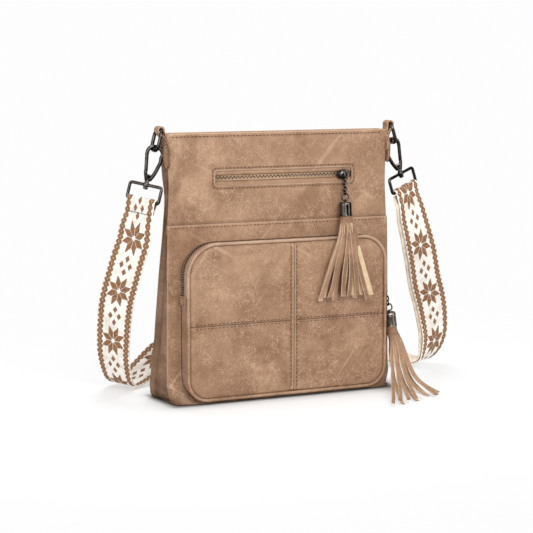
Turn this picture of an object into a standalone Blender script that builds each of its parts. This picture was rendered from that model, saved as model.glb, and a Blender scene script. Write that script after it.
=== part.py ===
"""Crossbody leather bag with a front patch pocket, two zip tassels and a woven strap.

The origin is at the middle of the base, on the surface the bag stands on. The front faces -Y
and the bag's own right side, as seen from the front, is +X. All sizes are in metres.
"""

import math

import bmesh
import bpy
import numpy as np
from mathutils import Matrix, Vector

# Body
TOP_WIDTH = 0.260
BASE_WIDTH = 0.267
HEIGHT = 0.2835
BASE_DEPTH = 0.074
TOP_DEPTH = 0.025
FRONT_SET = 0.019  # the upright front lies this far behind the base's front edge
LEATHER = 0.0016
GAP = 0.0003  # clearance between two pieces that touch on the real bag
BASE_THICK = 0.002
BASE_INSET = 0.002
BASE_CORNER = 0.012
CUT = 0.010  # how far a cutter runs past what it cuts
LAP_HEIGHT = HEIGHT - 0.0955  # top edge of the lower front panel
LAP = 0.010  # how far the two front panels overlap
FLARE_HEIGHT = 0.038
CORNER_TUCK = 0.006
CORNER_HEIGHT = 0.022
WAIST = 0.0020  # the side edges run in this much below the rim
GUSSET_FOLD = 0.008
GUSSET_REST = 0.002
GUSSET_SET = 0.001  # a gusset lies this far inside the panels' side edges
FOLD_HEIGHT = 0.70  # share of the height at which the sides are pinched in most
FOLD_SPREAD = 0.125
BACK_BULGE = 0.008
BACK_COLUMNS = 11

# Inside
BOARD = 0.0015
BOARD_INSET = (0.014, 0.009)
LINING = 0.0006
LINING_SLACK = 0.0018
ZIP_DROP = 0.0135  # the top zip lies this far below the rim
TAPE = 0.0009
TOOTH_HALF = 0.0028
TOOTH_RISE = 0.0009
TOP_ZIP_END = 0.014  # the tape stops this far short of the sides
PULL_LENGTH = 0.020
PULL_HALF = 0.0032
PULL_THICK = 0.0012
BAIL_RADIUS = 0.0017
BAIL_WIRE = 0.0010

# Front zip
WINDOW_LEFT = TOP_WIDTH / 2 - 0.053
WINDOW_RIGHT = TOP_WIDTH / 2 - 0.043
WINDOW_LOW = HEIGHT - 0.0565
WINDOW_HIGH = WINDOW_LOW + 0.017
WINDOW_CORNER = 0.0035
LIP_OVER = 0.006  # the lips reach this far behind the window's edge
LIP_SLOT = 0.0058
SLIDER_FROM_END = 0.0120
TEETH_SET = 0.0010  # the teeth stand this far in front of the lips' inside
POUCH_LOW = WINDOW_LOW - 0.095
POUCH_THICK = 0.0022
POUCH_CLOTH = 0.0004

# Pocket
POCKET_WIDTH = TOP_WIDTH - 0.026  # between the piping's centres
POCKET_LOW = 0.0045
POCKET_HIGH = LAP_HEIGHT - 0.019
POCKET_DEPTH = 0.040  # its face lies this far in front of the bag's middle
POCKET_LEFT_CORNER = 0.034
POCKET_RIGHT_CORNER = 0.028
POCKET_LOW_CORNER = 0.022
PIPING = 0.002  # radius
FACE_SEAM_X = 0.005
FACE_SEAM_HEIGHT = (POCKET_HIGH - 0.003) / 2
SEAM_STRIP = 0.0076
SEAM_STRIP_THICK = 0.0009
SEAM_STRIP_END = 0.0005
ZIP_START = POCKET_HIGH - 0.055
ZIP_STOP = POCKET_HIGH - 0.0555
TEETH_FRONT = POCKET_DEPTH - 0.012  # distance of the pocket's teeth in front of the bag's middle
POCKET_TOOTH_HALF = 0.003
END_TAB = 0.010
END_TAB_THICK = 0.0012
TOOTH_SLOPE = 0.0004
POCKET_SLIDER_UP = 0.0065  # the slider rests this far above the zip's end

# Tassels
CHAIN_LEAN = {"front": (0, 5.5), "side": (14, 0)}  # outwards and forwards, in degrees
EYE_WIRE = 0.0012
EYE_AHEAD = 0.0036  # the side slider's eye lies this far out from its seat
EYE_BELOW = 0.0060
LINK_WIRE = 0.0011
LINK_WIDTH = 0.0046
EYE_RADIUS = 0.0018
RING_WIRE = 0.0012
RING_WIDTH = 0.0095
CAP_RADIUS = 0.0065
CAP_LENGTH = 0.0155
CAP_WALL = 0.0008
CAP_EYE = 0.0019
CAP_EDGE = 0.0002
FRINGE_SLANT = 20
FRONT_LINKS = 4
FRONT_LINK = 0.0060
SIDE_LINKS = 5
SIDE_LINK = 0.0072

# Strap hardware
TAB_WIDTH = 0.013
TAB_NECK = 0.010  # its width where it is folded over the ring
TAB_LEATHER = 0.0016
TAB_LENGTH = 0.040
OVAL_WIRE = 0.0035
OVAL_LENGTH = 0.025
OVAL_WIDTH = 0.021
OVAL_CORNER = 0.0062
HOOK_WIRE = 0.0036
HOOK_REACH = 0.0407
HOOK_RADIUS = 0.0069
HOOK_PLAY = 0.0005
RECT_WIRE = 0.0032
RECT_WIDTH = 0.0428  # between wire centres
RECT_DROP = 0.0170
RECT_CORNER = 0.0028
BOSS_RADIUS = 0.0030
BOSS_HALF = 0.0024
STUD_RADIUS = 0.0013
STUD_CLEAR = 0.0004
PIN_RADIUS = 0.0006
PIN_CLEAR = 0.0003
PIN_HALF = 0.0026
GATE_RADIUS = 0.0015
GATE_PIVOT = (-0.0030, 0.0, 0.0115)

# Strap
STRAP_WIDTH = 0.038
STRAP_THICK = 0.0019
STRAP_STEP = 0.006
RING_SLACK = 0.0002
RAIL = 0.0022
RAIL_CLEAR = 0.001
SLIDE_LENGTH = 0.020
SLIDE_WIRE = 0.0024
SLIDE_PLAY = 0.0007

FRONT_Y = FRONT_SET - BASE_DEPTH / 2
LOWER_FRONT_Y = FRONT_Y - LEATHER - GAP
LINING_FRONT = FRONT_Y + LEATHER + 0.0062
FACE_Y = -POCKET_DEPTH
WALL_FRONT = FACE_Y + PIPING + GAP
SIDES = {
    "left": {"way": -1, "lean": 14.6, "bar_turn": -61.0, "loop_out": 0.0049, "loop_up": 0.0035},
    "right": {"way": 1, "lean": 17.3, "bar_turn": 20.6, "loop_out": 0.0072, "loop_up": 0.0050},
}


# Helpers


def clear_scene():
    for item in list(bpy.data.objects):
        bpy.data.objects.remove(item, do_unlink=True)


def material(name, colour, roughness, metallic=0.0):
    made = bpy.data.materials.new(name)
    made.use_nodes = True
    shader = made.node_tree.nodes["Principled BSDF"]
    shader.inputs["Base Color"].default_value = (*colour, 1.0)
    shader.inputs["Roughness"].default_value = roughness
    shader.inputs["Metallic"].default_value = metallic
    return made


def add_object(name, mesh, finish, frame=None, smooth=False):
    """Links a mesh as a named object, under an empty where one is given."""
    mesh.materials.append(finish)
    made = bpy.data.objects.new(name, mesh)
    bpy.context.scene.collection.objects.link(made)
    if frame is not None:
        made.parent = frame
    if smooth:
        mesh.shade_smooth()
        mesh.set_sharp_from_angle(angle=math.radians(40))
    return made


def mesh_of(name, points, faces):
    """A mesh with its faces turned outwards."""
    mesh = bpy.data.meshes.new(name)
    mesh.from_pydata([tuple(p) for p in points], [], faces)
    shape = bmesh.new()
    shape.from_mesh(mesh)
    bmesh.ops.recalc_face_normals(shape, faces=shape.faces)
    shape.to_mesh(mesh)
    shape.free()
    return mesh


def loft(name, rings, closed=False):
    """Joins equal rings of points in order; the two end rings are capped unless it closes on itself."""
    rings = np.asarray(rings, float)
    count, around = rings.shape[:2]
    faces = []
    for i in range(count if closed else count - 1):
        here = i * around
        there = (i + 1) % count * around
        for j in range(around):
            k = (j + 1) % around
            faces.append((here + j, here + k, there + k, there + j))
    if not closed:
        faces.append(tuple(range(around))[::-1])
        faces.append(tuple(range((count - 1) * around, count * around)))
    return mesh_of(name, rings.reshape(-1, 3), faces)


def slab(name, outer, inner):
    """The solid between two equal grids of points."""
    rows, columns = outer.shape[:2]
    points = np.concatenate([outer.reshape(-1, 3), inner.reshape(-1, 3)])
    second = rows * columns
    faces = []
    for i in range(rows - 1):
        for j in range(columns - 1):
            a = i * columns + j
            b = a + columns
            faces.append((a, b, b + 1, a + 1))
            faces.append((second + a, second + a + 1, second + b + 1, second + b))
    edge = [j for j in range(columns)]
    edge += [i * columns + columns - 1 for i in range(1, rows)]
    edge += [(rows - 1) * columns + j for j in range(columns - 2, -1, -1)]
    edge += [i * columns for i in range(rows - 2, 0, -1)]
    for a, b in zip(edge, edge[1:] + edge[:1]):
        faces.append((a, b, second + b, second + a))
    return mesh_of(name, points, faces)


def plate(name, outline, near, far):
    """An outline in X and Z, carried along Y from near to far."""
    return loft(name, [[(x, y, z) for x, z in outline] for y in (near, far)])


def box_mesh(name, low, high):
    x = (low[0], high[0], high[0], low[0])
    z = (low[2], low[2], high[2], high[2])
    return plate(name, list(zip(x, z)), low[1], high[1])


def arc(centre, radius, start, stop, steps):
    """Points on an arc in a plane, angles in degrees from the first axis to the second."""
    turns = np.radians(np.linspace(start, stop, steps))
    return [(centre[0] + radius * math.cos(t), centre[1] + radius * math.sin(t)) for t in turns]


def rounded(low, high, radii, steps=6):
    """A rectangle in two axes with rounded corners: low right, high right, high left, low left."""
    corners = ((high[0], low[1], -90), (high[0], high[1], 0), (low[0], high[1], 90), (low[0], low[1], 180))
    outline = []
    for (x, z, start), radius in zip(corners, radii):
        centre = (x - radius if x == high[0] else x + radius, z + radius if z == low[1] else z - radius)
        outline += arc(centre, radius, start, start + 90, steps)
    return outline


def flat_wire(name, path, radius, sides=8, closed=False):
    """A round wire along a path of (x, z) points in the plane y = 0."""
    path = np.asarray(path, float)
    if closed:
        ahead, behind = np.roll(path, -1, 0), np.roll(path, 1, 0)
    else:
        ahead = np.vstack([path[1:], path[-1]])
        behind = np.vstack([path[0], path[:-1]])
    along = ahead - behind
    along /= np.linalg.norm(along, axis=1, keepdims=True)
    turns = np.arange(sides) * 2 * math.pi / sides
    rings = np.zeros((len(path), sides, 3))
    rings[:, :, 0] = path[:, :1] - along[:, 1:] * radius * np.cos(turns)
    rings[:, :, 2] = path[:, 1:] + along[:, :1] * radius * np.cos(turns)
    rings[:, :, 1] = radius * np.sin(turns)
    return loft(name, rings, closed)


def turned(name, profile, sides=16):
    """Turns a profile of (radius, z) points about Z; both ends are closed by a flat disc."""
    turns = np.arange(sides) * 2 * math.pi / sides
    return loft(name, [[(r * math.cos(t), r * math.sin(t), z) for t in turns] for r, z in profile])


def bevel(item, width, segments=2):
    made = item.modifiers.new("rounded edges", "BEVEL")
    made.width = width
    made.segments = segments
    made.limit_method = "ANGLE"


def helper_object(name, mesh, frame=None):
    """A cutter or a shape to be joined on, which is not itself a piece."""
    made = bpy.data.objects.new(name, mesh)
    bpy.context.scene.collection.objects.link(made)
    made.hide_render = True
    made.display_type = "WIRE"
    if frame is not None:
        made.parent = frame
    return made


def combine(item, other, operation):
    made = item.modifiers.new(operation.lower(), "BOOLEAN")
    made.operation = operation
    made.solver = "EXACT"
    made.object = other


def empty(name, matrix, parent=None):
    made = bpy.data.objects.new(name, None)
    bpy.context.scene.collection.objects.link(made)
    made.parent = parent
    made.matrix_local = matrix
    return made


def oval_path(length, width, end_steps=7):
    """A closed path in X and Z with straight sides and round ends, from the middles of its wire."""
    radius = width / 2
    straight = length / 2 - radius
    return arc((0, straight), radius, 0, 180, end_steps) + arc((0, -straight), radius, 180, 360, end_steps)


# The body's own surfaces


def half_width(z):
    up = z / HEIGHT
    tuck = CORNER_TUCK * np.maximum(0.0, 1 - z / CORNER_HEIGHT) ** 2
    waist = WAIST * np.exp(-(((up - 0.8) / 0.12) ** 2))
    return (BASE_WIDTH + (TOP_WIDTH - BASE_WIDTH) * up) / 2 - tuck - waist


def lower_front(z):
    """The outside of the lower front panel: upright, then flaring forward to the base's edge."""
    flare = BASE_DEPTH / 2 + LOWER_FRONT_Y
    return LOWER_FRONT_Y - flare * np.maximum(0.0, 1 - z / FLARE_HEIGHT) ** 2


def back_outer(across, z):
    """The outside of the back panel: it leans forward, tucks in above the base and bulges at its middle."""
    heights = (0.0, 0.04, 0.10, 0.28, 0.46, 0.62, 0.75, 0.84, 0.89, 1.0)
    tucks = (0.0, 0.0085, 0.0108, 0.0126, 0.0161, 0.0212, 0.0200, 0.0105, 0.0085, 0.0010)
    up = z / HEIGHT
    straight = BASE_DEPTH / 2 * (1 - up) + (FRONT_Y + TOP_DEPTH) * up
    bulge = BACK_BULGE * (1 - across**2) * np.sin(math.pi * np.clip(up, 0, 1)) ** 0.5
    return straight - np.interp(up, heights, tucks) + bulge


def back_inner(x, z):
    """The inside of the back panel as built, from its rows and columns; x may be an array."""
    rows = wall_rows()
    columns = np.linspace(-1, 1, BACK_COLUMNS)
    across = np.clip(x / half_width(z), -1, 1)
    at_rows = np.array([np.interp(across, columns, back_outer(columns, row)) for row in rows])
    i = int(np.clip(np.searchsorted(rows, z) - 1, 0, len(rows) - 2))
    share = (z - rows[i]) / (rows[i + 1] - rows[i])
    return at_rows[i] * (1 - share) + at_rows[i + 1] * share - LEATHER


def front_inner(z):
    """The inside of whichever front panel lies innermost at this height."""
    low = LAP_HEIGHT - LAP
    return np.where(z < low, lower_front(z) + LEATHER, FRONT_Y + LEATHER)


def gusset_fold(z):
    spread = (z / HEIGHT - FOLD_HEIGHT) / FOLD_SPREAD
    return GUSSET_REST + (GUSSET_FOLD - GUSSET_REST) * np.exp(-(spread**2))


def gusset_outer(v, z):
    """Distance of a side gusset's outside from the middle plane; v runs from 0 at the front to 1."""
    return half_width(z) - GUSSET_SET - gusset_fold(z) * np.sin(math.pi * v)


def wall_rows():
    """The heights of the rows that the back, the sides and the lining share, so that they nest."""
    low = LAP_HEIGHT - LAP
    bottom = BASE_THICK + GAP
    flare = bottom + (FLARE_HEIGHT - bottom) * np.array([0, 0.12, 0.27, 0.46, 0.7, 1.0])
    middle = FLARE_HEIGHT + (low - FLARE_HEIGHT) * np.array([0.17, 0.34, 0.5, 0.62, 0.76, 0.92, 1.0])
    upper = low + (HEIGHT - low) * np.array([0.15, 0.33, 0.5, 0.66, 0.83, 1.0])
    return np.concatenate([flare, middle, upper])


def body_panels(finish):
    rows = wall_rows()
    sides = np.array([-1.0, 1.0])

    def front_grid(z, y):
        columns = [half_width(z)[:, None] * sides, np.repeat(y[:, None], 2, 1), np.repeat(z[:, None], 2, 1)]
        return np.stack(columns, 2)

    z = rows[rows > LAP_HEIGHT - LAP - GAP]
    outer = front_grid(z, np.full(len(z), FRONT_Y))
    mesh = slab("front_upper_panel", outer, outer + (0, LEATHER, 0))
    upper = add_object("front_upper_panel", mesh, finish)
    window = rounded((-WINDOW_LEFT, WINDOW_LOW), (WINDOW_RIGHT, WINDOW_HIGH), (WINDOW_CORNER,) * 4, 5)
    cutter = plate("zip_window", window, FRONT_Y - CUT, FRONT_Y + CUT)
    combine(upper, helper_object("zip_window", cutter), "DIFFERENCE")

    z = np.concatenate([rows[rows < FLARE_HEIGHT + GAP], [LAP_HEIGHT]])
    outer = front_grid(z, lower_front(z))
    add_object("front_lower_panel", slab("front_lower_panel", outer, outer + (0, LEATHER, 0)), finish)

    z = rows[:, None]
    columns = np.linspace(-1, 1, BACK_COLUMNS)[None, :]
    outer = np.stack([half_width(z) * columns, back_outer(columns, z), z + 0 * columns], 2)
    add_object("back_panel", slab("back_panel", outer, outer - (0, LEATHER, 0)), finish)

    v = np.linspace(0, 1, 7)[None, :]
    front = front_inner(z) + GAP
    y = front + (back_outer(1.0, z) - LEATHER - GAP - front) * v
    for side, facts in SIDES.items():
        outer = np.stack([facts["way"] * gusset_outer(v, z), y, z + 0 * y], 2)
        inner = outer - np.array([facts["way"] * LEATHER, 0, 0])
        add_object(side + "_gusset", slab(side + "_gusset", outer, inner), finish)

    half = (BASE_WIDTH / 2 - BASE_INSET, BASE_DEPTH / 2)
    outline = rounded((-half[0], -half[1]), half, (BASE_CORNER,) * 4, 6)
    mesh = loft("base_panel", [[(x, y, z) for x, y in outline] for z in (0.0, BASE_THICK)])
    add_object("base_panel", mesh, finish)


def inside_loop(z, inset):
    """A closed loop round the inside of the walls at one height, drawn in by inset."""
    room = LINING_FRONT if z > POUCH_LOW - 0.012 else -BASE_DEPTH
    front = max(float(front_inner(z)) + GAP, room) + inset
    side = float(half_width(z)) - LINING_SLACK - LEATHER - GAP - inset
    gusset_front = float(front_inner(z)) + GAP
    gusset_back = float(back_outer(1.0, z)) - LEATHER - GAP
    y = np.linspace(front, gusset_back - inset, 7)
    v = (y - gusset_front) / (gusset_back - gusset_front)
    edge = side - gusset_fold(z) * np.sin(math.pi * v)
    columns = np.linspace(-1, 1, BACK_COLUMNS)[1:-1] * half_width(z)
    x = np.concatenate([[-edge[-1]], columns, [edge[-1]]])
    back = back_inner(x, z) - GAP - inset
    points = [(-edge[0], front, z)] + [(a, front, z) for a in columns] + [(edge[0], front, z)]
    points += list(zip(edge[1:-1], y[1:-1], [z] * 5))
    points += list(zip(x[::-1], back[::-1], [z] * len(x)))
    points += list(zip(-edge[-2:0:-1], y[-2:0:-1], [z] * 5))
    return np.array(points)


def fabric_bag(name, loop, heights, wall):
    """A closed-bottomed bag of thin fabric: loop(z, inset) gives its outline at a height."""
    outer = [loop(z, 0.0) for z in heights]
    inner = [loop(z, wall) for z in heights]
    inner[0] = inner[0] + (inner[1] - inner[0]) * wall / (heights[1] - heights[0])
    return loft(name, outer + inner[::-1])


def inside_pieces(board_finish, cloth):
    top = BASE_THICK + GAP + BOARD
    half = (BASE_WIDTH / 2 - BOARD_INSET[0], BASE_DEPTH / 2 - BOARD_INSET[1])
    outline = rounded((-half[0], -half[1]), half, (0.010,) * 4, 4)
    rings = [[(x, y, z) for x, y in outline] for z in (BASE_THICK + GAP, top)]
    add_object("base_board", loft("base_board", rings), board_finish)

    low, high = top + GAP, HEIGHT - ZIP_DROP - TAPE / 2 - TOOTH_RISE - GAP
    rows = wall_rows()

    def loop(z, inset):
        """At the lining's own two end heights its outline lies on the straight run between two rows."""
        i = int(np.clip(np.searchsorted(rows, z) - 1, 0, len(rows) - 2))
        share = (z - rows[i]) / (rows[i + 1] - rows[i])
        return inside_loop(rows[i], inset) * (1 - share) + inside_loop(rows[i + 1], inset) * share

    heights = np.concatenate([[low], rows[(rows > low + LINING) & (rows < high)], [high]])
    add_object("lining", fabric_bag("lining", loop, heights, LINING), cloth)


def top_zip(tape_finish, metal):
    """Two tape halves just below the rim, each with its row of teeth, and the slider with its pull."""
    middle = (FRONT_Y + LEATHER + FRONT_Y + TOP_DEPTH - LEATHER) / 2
    z = HEIGHT - ZIP_DROP
    reach = TOP_WIDTH / 2 - TOP_ZIP_END
    columns = np.linspace(-1, 1, BACK_COLUMNS)[1:-1] * half_width(z)
    x = np.concatenate([[-reach], columns, [reach]])
    rises = np.array([0, 0, TOOTH_RISE, TOOTH_RISE]) + TAPE / 2
    halves = {"front": (-1, FRONT_Y + LEATHER + GAP + 0 * x), "back": (1, back_inner(x, z) - GAP)}
    for name, (way, outside) in halves.items():
        fixed = [middle + way * d + 0 * x for d in (TOOTH_HALF, TOOTH_HALF - TOOTH_SLOPE, GAP / 2)]
        y = np.stack([outside] + fixed, 1)
        upper = np.stack([np.repeat(x[:, None], 4, 1), y, z + 0 * y + rises], 2)
        lower = np.stack([np.repeat(x[:, None], 4, 1), y, z + 0 * y - rises], 2)
        add_object(f"top_zip_tape_{name}", slab("tape", upper, lower), tape_finish)

    seat = z + TAPE / 2 + TOOTH_RISE + GAP
    place = empty("top_zip_slider_place", Matrix.Translation((reach - SLIDER_FROM_END, middle, seat)))
    mesh = box_mesh("slider", (-0.0055, -0.0042, 0), (0.0055, 0.0042, 0.0024))
    slider = add_object("top_zip_slider", mesh, metal, place)
    bevel(slider, 0.0008)
    hinge_at = Vector((-0.0016, 0, 0.0034))
    bail = flat_wire("bail", arc((0, 0), BAIL_RADIUS, 0, 360, 17)[:-1], BAIL_WIRE / 2, 8, True)
    bail_object = helper_object("top_zip_bail", bail, place)
    bail_object.location = hinge_at
    combine(slider, bail_object, "UNION")

    hinge = empty("top_zip_pull_hinge", Matrix.Translation(hinge_at), place)
    ahead = BAIL_WIRE / 2 + 0.0001
    corners = (0.0004, 0.0004, 0.0015, 0.0015)
    outline = rounded((-PULL_LENGTH, -PULL_HALF), (ahead, PULL_HALF), corners, 3)
    pull = loft("pull", [[(a, b, c) for a, b in outline] for c in (-PULL_THICK / 2, PULL_THICK / 2)])
    pull_object = add_object("top_zip_pull", pull, metal, hinge)
    eye = box_mesh("pull_eye", (-0.0026, -0.0014, -0.0020), (-0.0006, 0.0014, 0.0020))
    combine(pull_object, helper_object("top_zip_pull_eye", eye, hinge), "DIFFERENCE")


def slider_with_eye(name, place, body, dome, eye_at, metal):
    """A zip slider: a rounded body with a dome on its face and an eye for a chain.

    body is its low corner, high corner and edge rounding; dome is its profile and place;
    eye_at is the eye's place.
    """
    low, high, rounding = body
    slider = add_object(name + "_zip_slider", box_mesh("slider", low, high), metal, place)
    bevel(slider, rounding, 2)
    profile, dome_at = dome
    dome_object = helper_object(name + "_dome", turned("dome", profile), place)
    dome_object.matrix_local = dome_at
    combine(slider, dome_object, "UNION")
    ring = flat_wire("eye", oval_path(2 * EYE_RADIUS, 2 * EYE_RADIUS), EYE_WIRE / 2, closed=True)
    eye = helper_object(name + "_eye", ring, place)
    eye.matrix_local = eye_at
    combine(slider, eye, "UNION")
    return slider


def front_zip(finish, tape_finish, cloth, metal):
    middle = (WINDOW_LOW + WINDOW_HIGH) / 2
    near = FRONT_Y + LEATHER + GAP
    slot = LIP_SLOT / 2
    low_corner = (-WINDOW_LEFT - LIP_OVER, WINDOW_LOW - LIP_OVER)
    high_corner = (WINDOW_RIGHT + LIP_OVER, WINDOW_HIGH + LIP_OVER)
    outline = rounded(low_corner, high_corner, (0.003,) * 4, 3)
    welt = add_object("front_zip_welt", plate("front_zip_welt", outline, near, near + LEATHER), finish)
    under = (-WINDOW_LEFT, near - CUT, middle - slot)
    over = (WINDOW_RIGHT, near + CUT, middle + slot)
    combine(welt, helper_object("lip_slot", box_mesh("lip_slot", under, over)), "DIFFERENCE")

    back = near + LEATHER + GAP
    tooth = LIP_SLOT / 2 - GAP
    half = (WINDOW_HIGH - WINDOW_LOW) / 2 + LIP_OVER - 0.001
    teeth = near - TEETH_SET
    section = [(back + TAPE, -half), (back + TAPE, half), (back, half), (back, tooth), (teeth, tooth)]
    section += [(teeth, -tooth), (back, -tooth), (back, -half)]
    ends = (-WINDOW_LEFT + GAP, WINDOW_RIGHT - GAP)
    rings = [[(x, y, middle + z) for y, z in section] for x in ends]
    add_object("front_zip_tape", loft("front_zip_tape", rings), tape_finish)

    def pouch_loop(z, inset):
        low, high = back + TAPE + GAP + inset, back + TAPE + GAP + POUCH_THICK - inset
        x0, x1 = -WINDOW_LEFT + inset, WINDOW_RIGHT - inset
        return np.array([(x0, low, z), (x1, low, z), (x1, high, z), (x0, high, z)])

    heights = np.array([POUCH_LOW, middle + 0.004])
    add_object("front_zip_pouch", fabric_bag("front_zip_pouch", pouch_loop, heights, POUCH_CLOTH), cloth)

    seat = Vector((WINDOW_RIGHT - SLIDER_FROM_END, teeth - GAP, middle))
    place = empty("front_slider_place", Matrix.Translation(seat))
    body = ((-0.0055, -0.0020, -0.0052), (0.0055, 0, 0.0052), 0.0012)
    profile = [(0.0042, 0), (0.0039, 0.0012), (0.0028, 0.0024), (0.0010, 0.0030)]
    dome_at = Matrix.Translation((0, -0.0015, 0)) @ Matrix.Rotation(math.pi / 2, 4, "X")
    hang = Vector((0, -0.0056, -0.0062))
    eye_at = Matrix.Translation(hang) @ Matrix.Rotation(math.pi / 2, 4, "Z")
    slider = slider_with_eye("front", place, body, (profile, dome_at), eye_at, metal)
    tongue = box_mesh("tongue", (-0.0011, -0.0066, -0.0056), (0.0011, -0.0010, -0.0040))
    combine(slider, helper_object("front_tongue", tongue, place), "UNION")
    return seat + hang + Vector((0, 0, -EYE_RADIUS))


def pocket_path(inset, piece):
    """Points (x, z) along the pocket's edge, drawn in by inset, over its top or round its bottom."""
    half = POCKET_WIDTH / 2
    left, right = -half + inset, half - inset
    high, low = POCKET_HIGH - inset, POCKET_LOW + inset
    if piece == "top":
        a, b = POCKET_LEFT_CORNER, POCKET_RIGHT_CORNER
        points = [(left, ZIP_START), (left, POCKET_HIGH - a - 0.004)]
        points += arc((-half + a, POCKET_HIGH - a), a - inset, 180, 90, 9)
        points += arc((half - b, POCKET_HIGH - b), b - inset, 90, 0, 9)
        return points + [(right, ZIP_STOP)]
    c = POCKET_LOW_CORNER
    points = [(left, ZIP_START - GAP)] + [(left, z) for z in (0.08, 0.05)]
    points += arc((-half + c, POCKET_LOW + c), c - inset, 180, 270, 9)
    points += arc((half - c, POCKET_LOW + c), c - inset, 270, 360, 9)
    return points + [(right, z) for z in (0.05, 0.08, ZIP_STOP - GAP)]


def pocket(finish, piping_finish, tape_finish, metal):
    half = POCKET_WIDTH / 2
    set_in = PIPING + GAP
    low, high = POCKET_LOW + set_in, POCKET_HIGH - set_in
    left, right = -half + set_in, half - set_in
    near, far = FACE_Y - LEATHER / 2, FACE_Y + LEATHER / 2
    x0, x1 = FACE_SEAM_X - GAP / 2, FACE_SEAM_X + GAP / 2
    z0, z1 = FACE_SEAM_HEIGHT - GAP / 2, FACE_SEAM_HEIGHT + GAP / 2
    a, b, c = POCKET_LEFT_CORNER - set_in, POCKET_RIGHT_CORNER - set_in, POCKET_LOW_CORNER - set_in
    quarters = {
        "upper_left": [(x0, z1), (x0, high)] + arc((left + a, high - a), a, 90, 180, 9) + [(left, z1)],
        "lower_left": [(x0, z0), (left, z0)] + arc((left + c, low + c), c, 180, 270, 9) + [(x0, low)],
        "upper_right": [(x1, z1), (right, z1)] + arc((right - b, high - b), b, 0, 90, 9) + [(x1, high)],
        "lower_right": [(x1, z0), (x1, low)] + arc((right - c, low + c), c, 270, 360, 9) + [(right, z0)],
    }
    for name, outline in quarters.items():
        add_object("pocket_face_" + name, plate(name, outline, near, far), finish)
    strip_half = SEAM_STRIP / 2
    under = (FACE_SEAM_X - strip_half, near - GAP - SEAM_STRIP_THICK, low + SEAM_STRIP_END)
    over = (FACE_SEAM_X + strip_half, near - GAP, high - SEAM_STRIP_END)
    add_object("pocket_seam_strip", box_mesh("strip", under, over), finish)

    radii = (POCKET_LOW_CORNER, POCKET_RIGHT_CORNER, POCKET_LEFT_CORNER, POCKET_LOW_CORNER)
    whole = rounded((-half, POCKET_LOW), (half, POCKET_HIGH), radii, 9)
    mesh = flat_wire("piping", whole, PIPING, 8, True)
    piping = add_object("pocket_piping", mesh, piping_finish, smooth=True)
    piping.location = (0, FACE_Y, 0)

    outer, inner = (np.array(pocket_path(d, "bottom")) for d in (-LEATHER / 2, LEATHER / 2))
    steps = np.linspace(0, 1, 3)

    def wall(path):
        back = lower_front(np.maximum(path[:, 1:], 0)) - GAP
        y = back + (WALL_FRONT - back) * steps[None, :]
        return np.stack([np.repeat(path[:, :1], 3, 1), y, np.repeat(path[:, 1:], 3, 1)], 2)

    mesh = slab("pocket_gusset", wall(outer), wall(inner))
    add_object("pocket_gusset", mesh, finish)

    back = LOWER_FRONT_Y - GAP
    tooth_y = -TEETH_FRONT
    t = TAPE / 2
    r = TAPE / 2 + TOOTH_RISE
    inner, outer = tooth_y + POCKET_TOOTH_HALF, tooth_y - POCKET_TOOTH_HALF
    section = [(back, -t), (inner, -t), (inner - TOOTH_SLOPE, -r), (outer + TOOTH_SLOPE, -r), (outer, -t)]
    section += [(WALL_FRONT, -t)]
    section += [(y, -d) for y, d in section[::-1]]
    columns = [[(x, y, z) for x, z in pocket_path(d, "top")] for y, d in section]
    add_object("pocket_zip", loft("pocket_zip", np.array(columns).transpose(1, 0, 2)), tape_finish)

    for side, top in (("left", ZIP_START), ("right", ZIP_STOP - 0.0015)):
        way = SIDES[side]["way"]
        x = way * (half + LEATHER / 2 + GAP)
        far_x = x + way * END_TAB_THICK
        low_corner = (min(x, far_x), WALL_FRONT + 0.002, top - END_TAB)
        high_corner = (max(x, far_x), back - 0.0015, top)
        tab = add_object(f"pocket_zip_tab_{side}", box_mesh("zip_tab", low_corner, high_corner), finish)
        bevel(tab, 0.0004, 1)

    seat = Vector((half + r + GAP, tooth_y, ZIP_STOP + POCKET_SLIDER_UP))
    place = empty("pocket_slider_place", Matrix.Translation(seat))
    body = ((0, -0.0044, -0.0050), (0.0022, 0.0044, 0.0050), 0.0009)
    profile = [(0.0036, 0), (0.0033, 0.0010), (0.0022, 0.0020), (0.0008, 0.0024)]
    dome_at = Matrix.Translation((0.0017, 0, 0.0003)) @ Matrix.Rotation(math.pi / 2, 4, "Y")
    hang = Vector((EYE_AHEAD, 0, -EYE_BELOW))
    slider_with_eye("pocket", place, body, (profile, dome_at), Matrix.Translation(hang), metal)
    return seat + hang + Vector((0, 0, -EYE_RADIUS))


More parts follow.
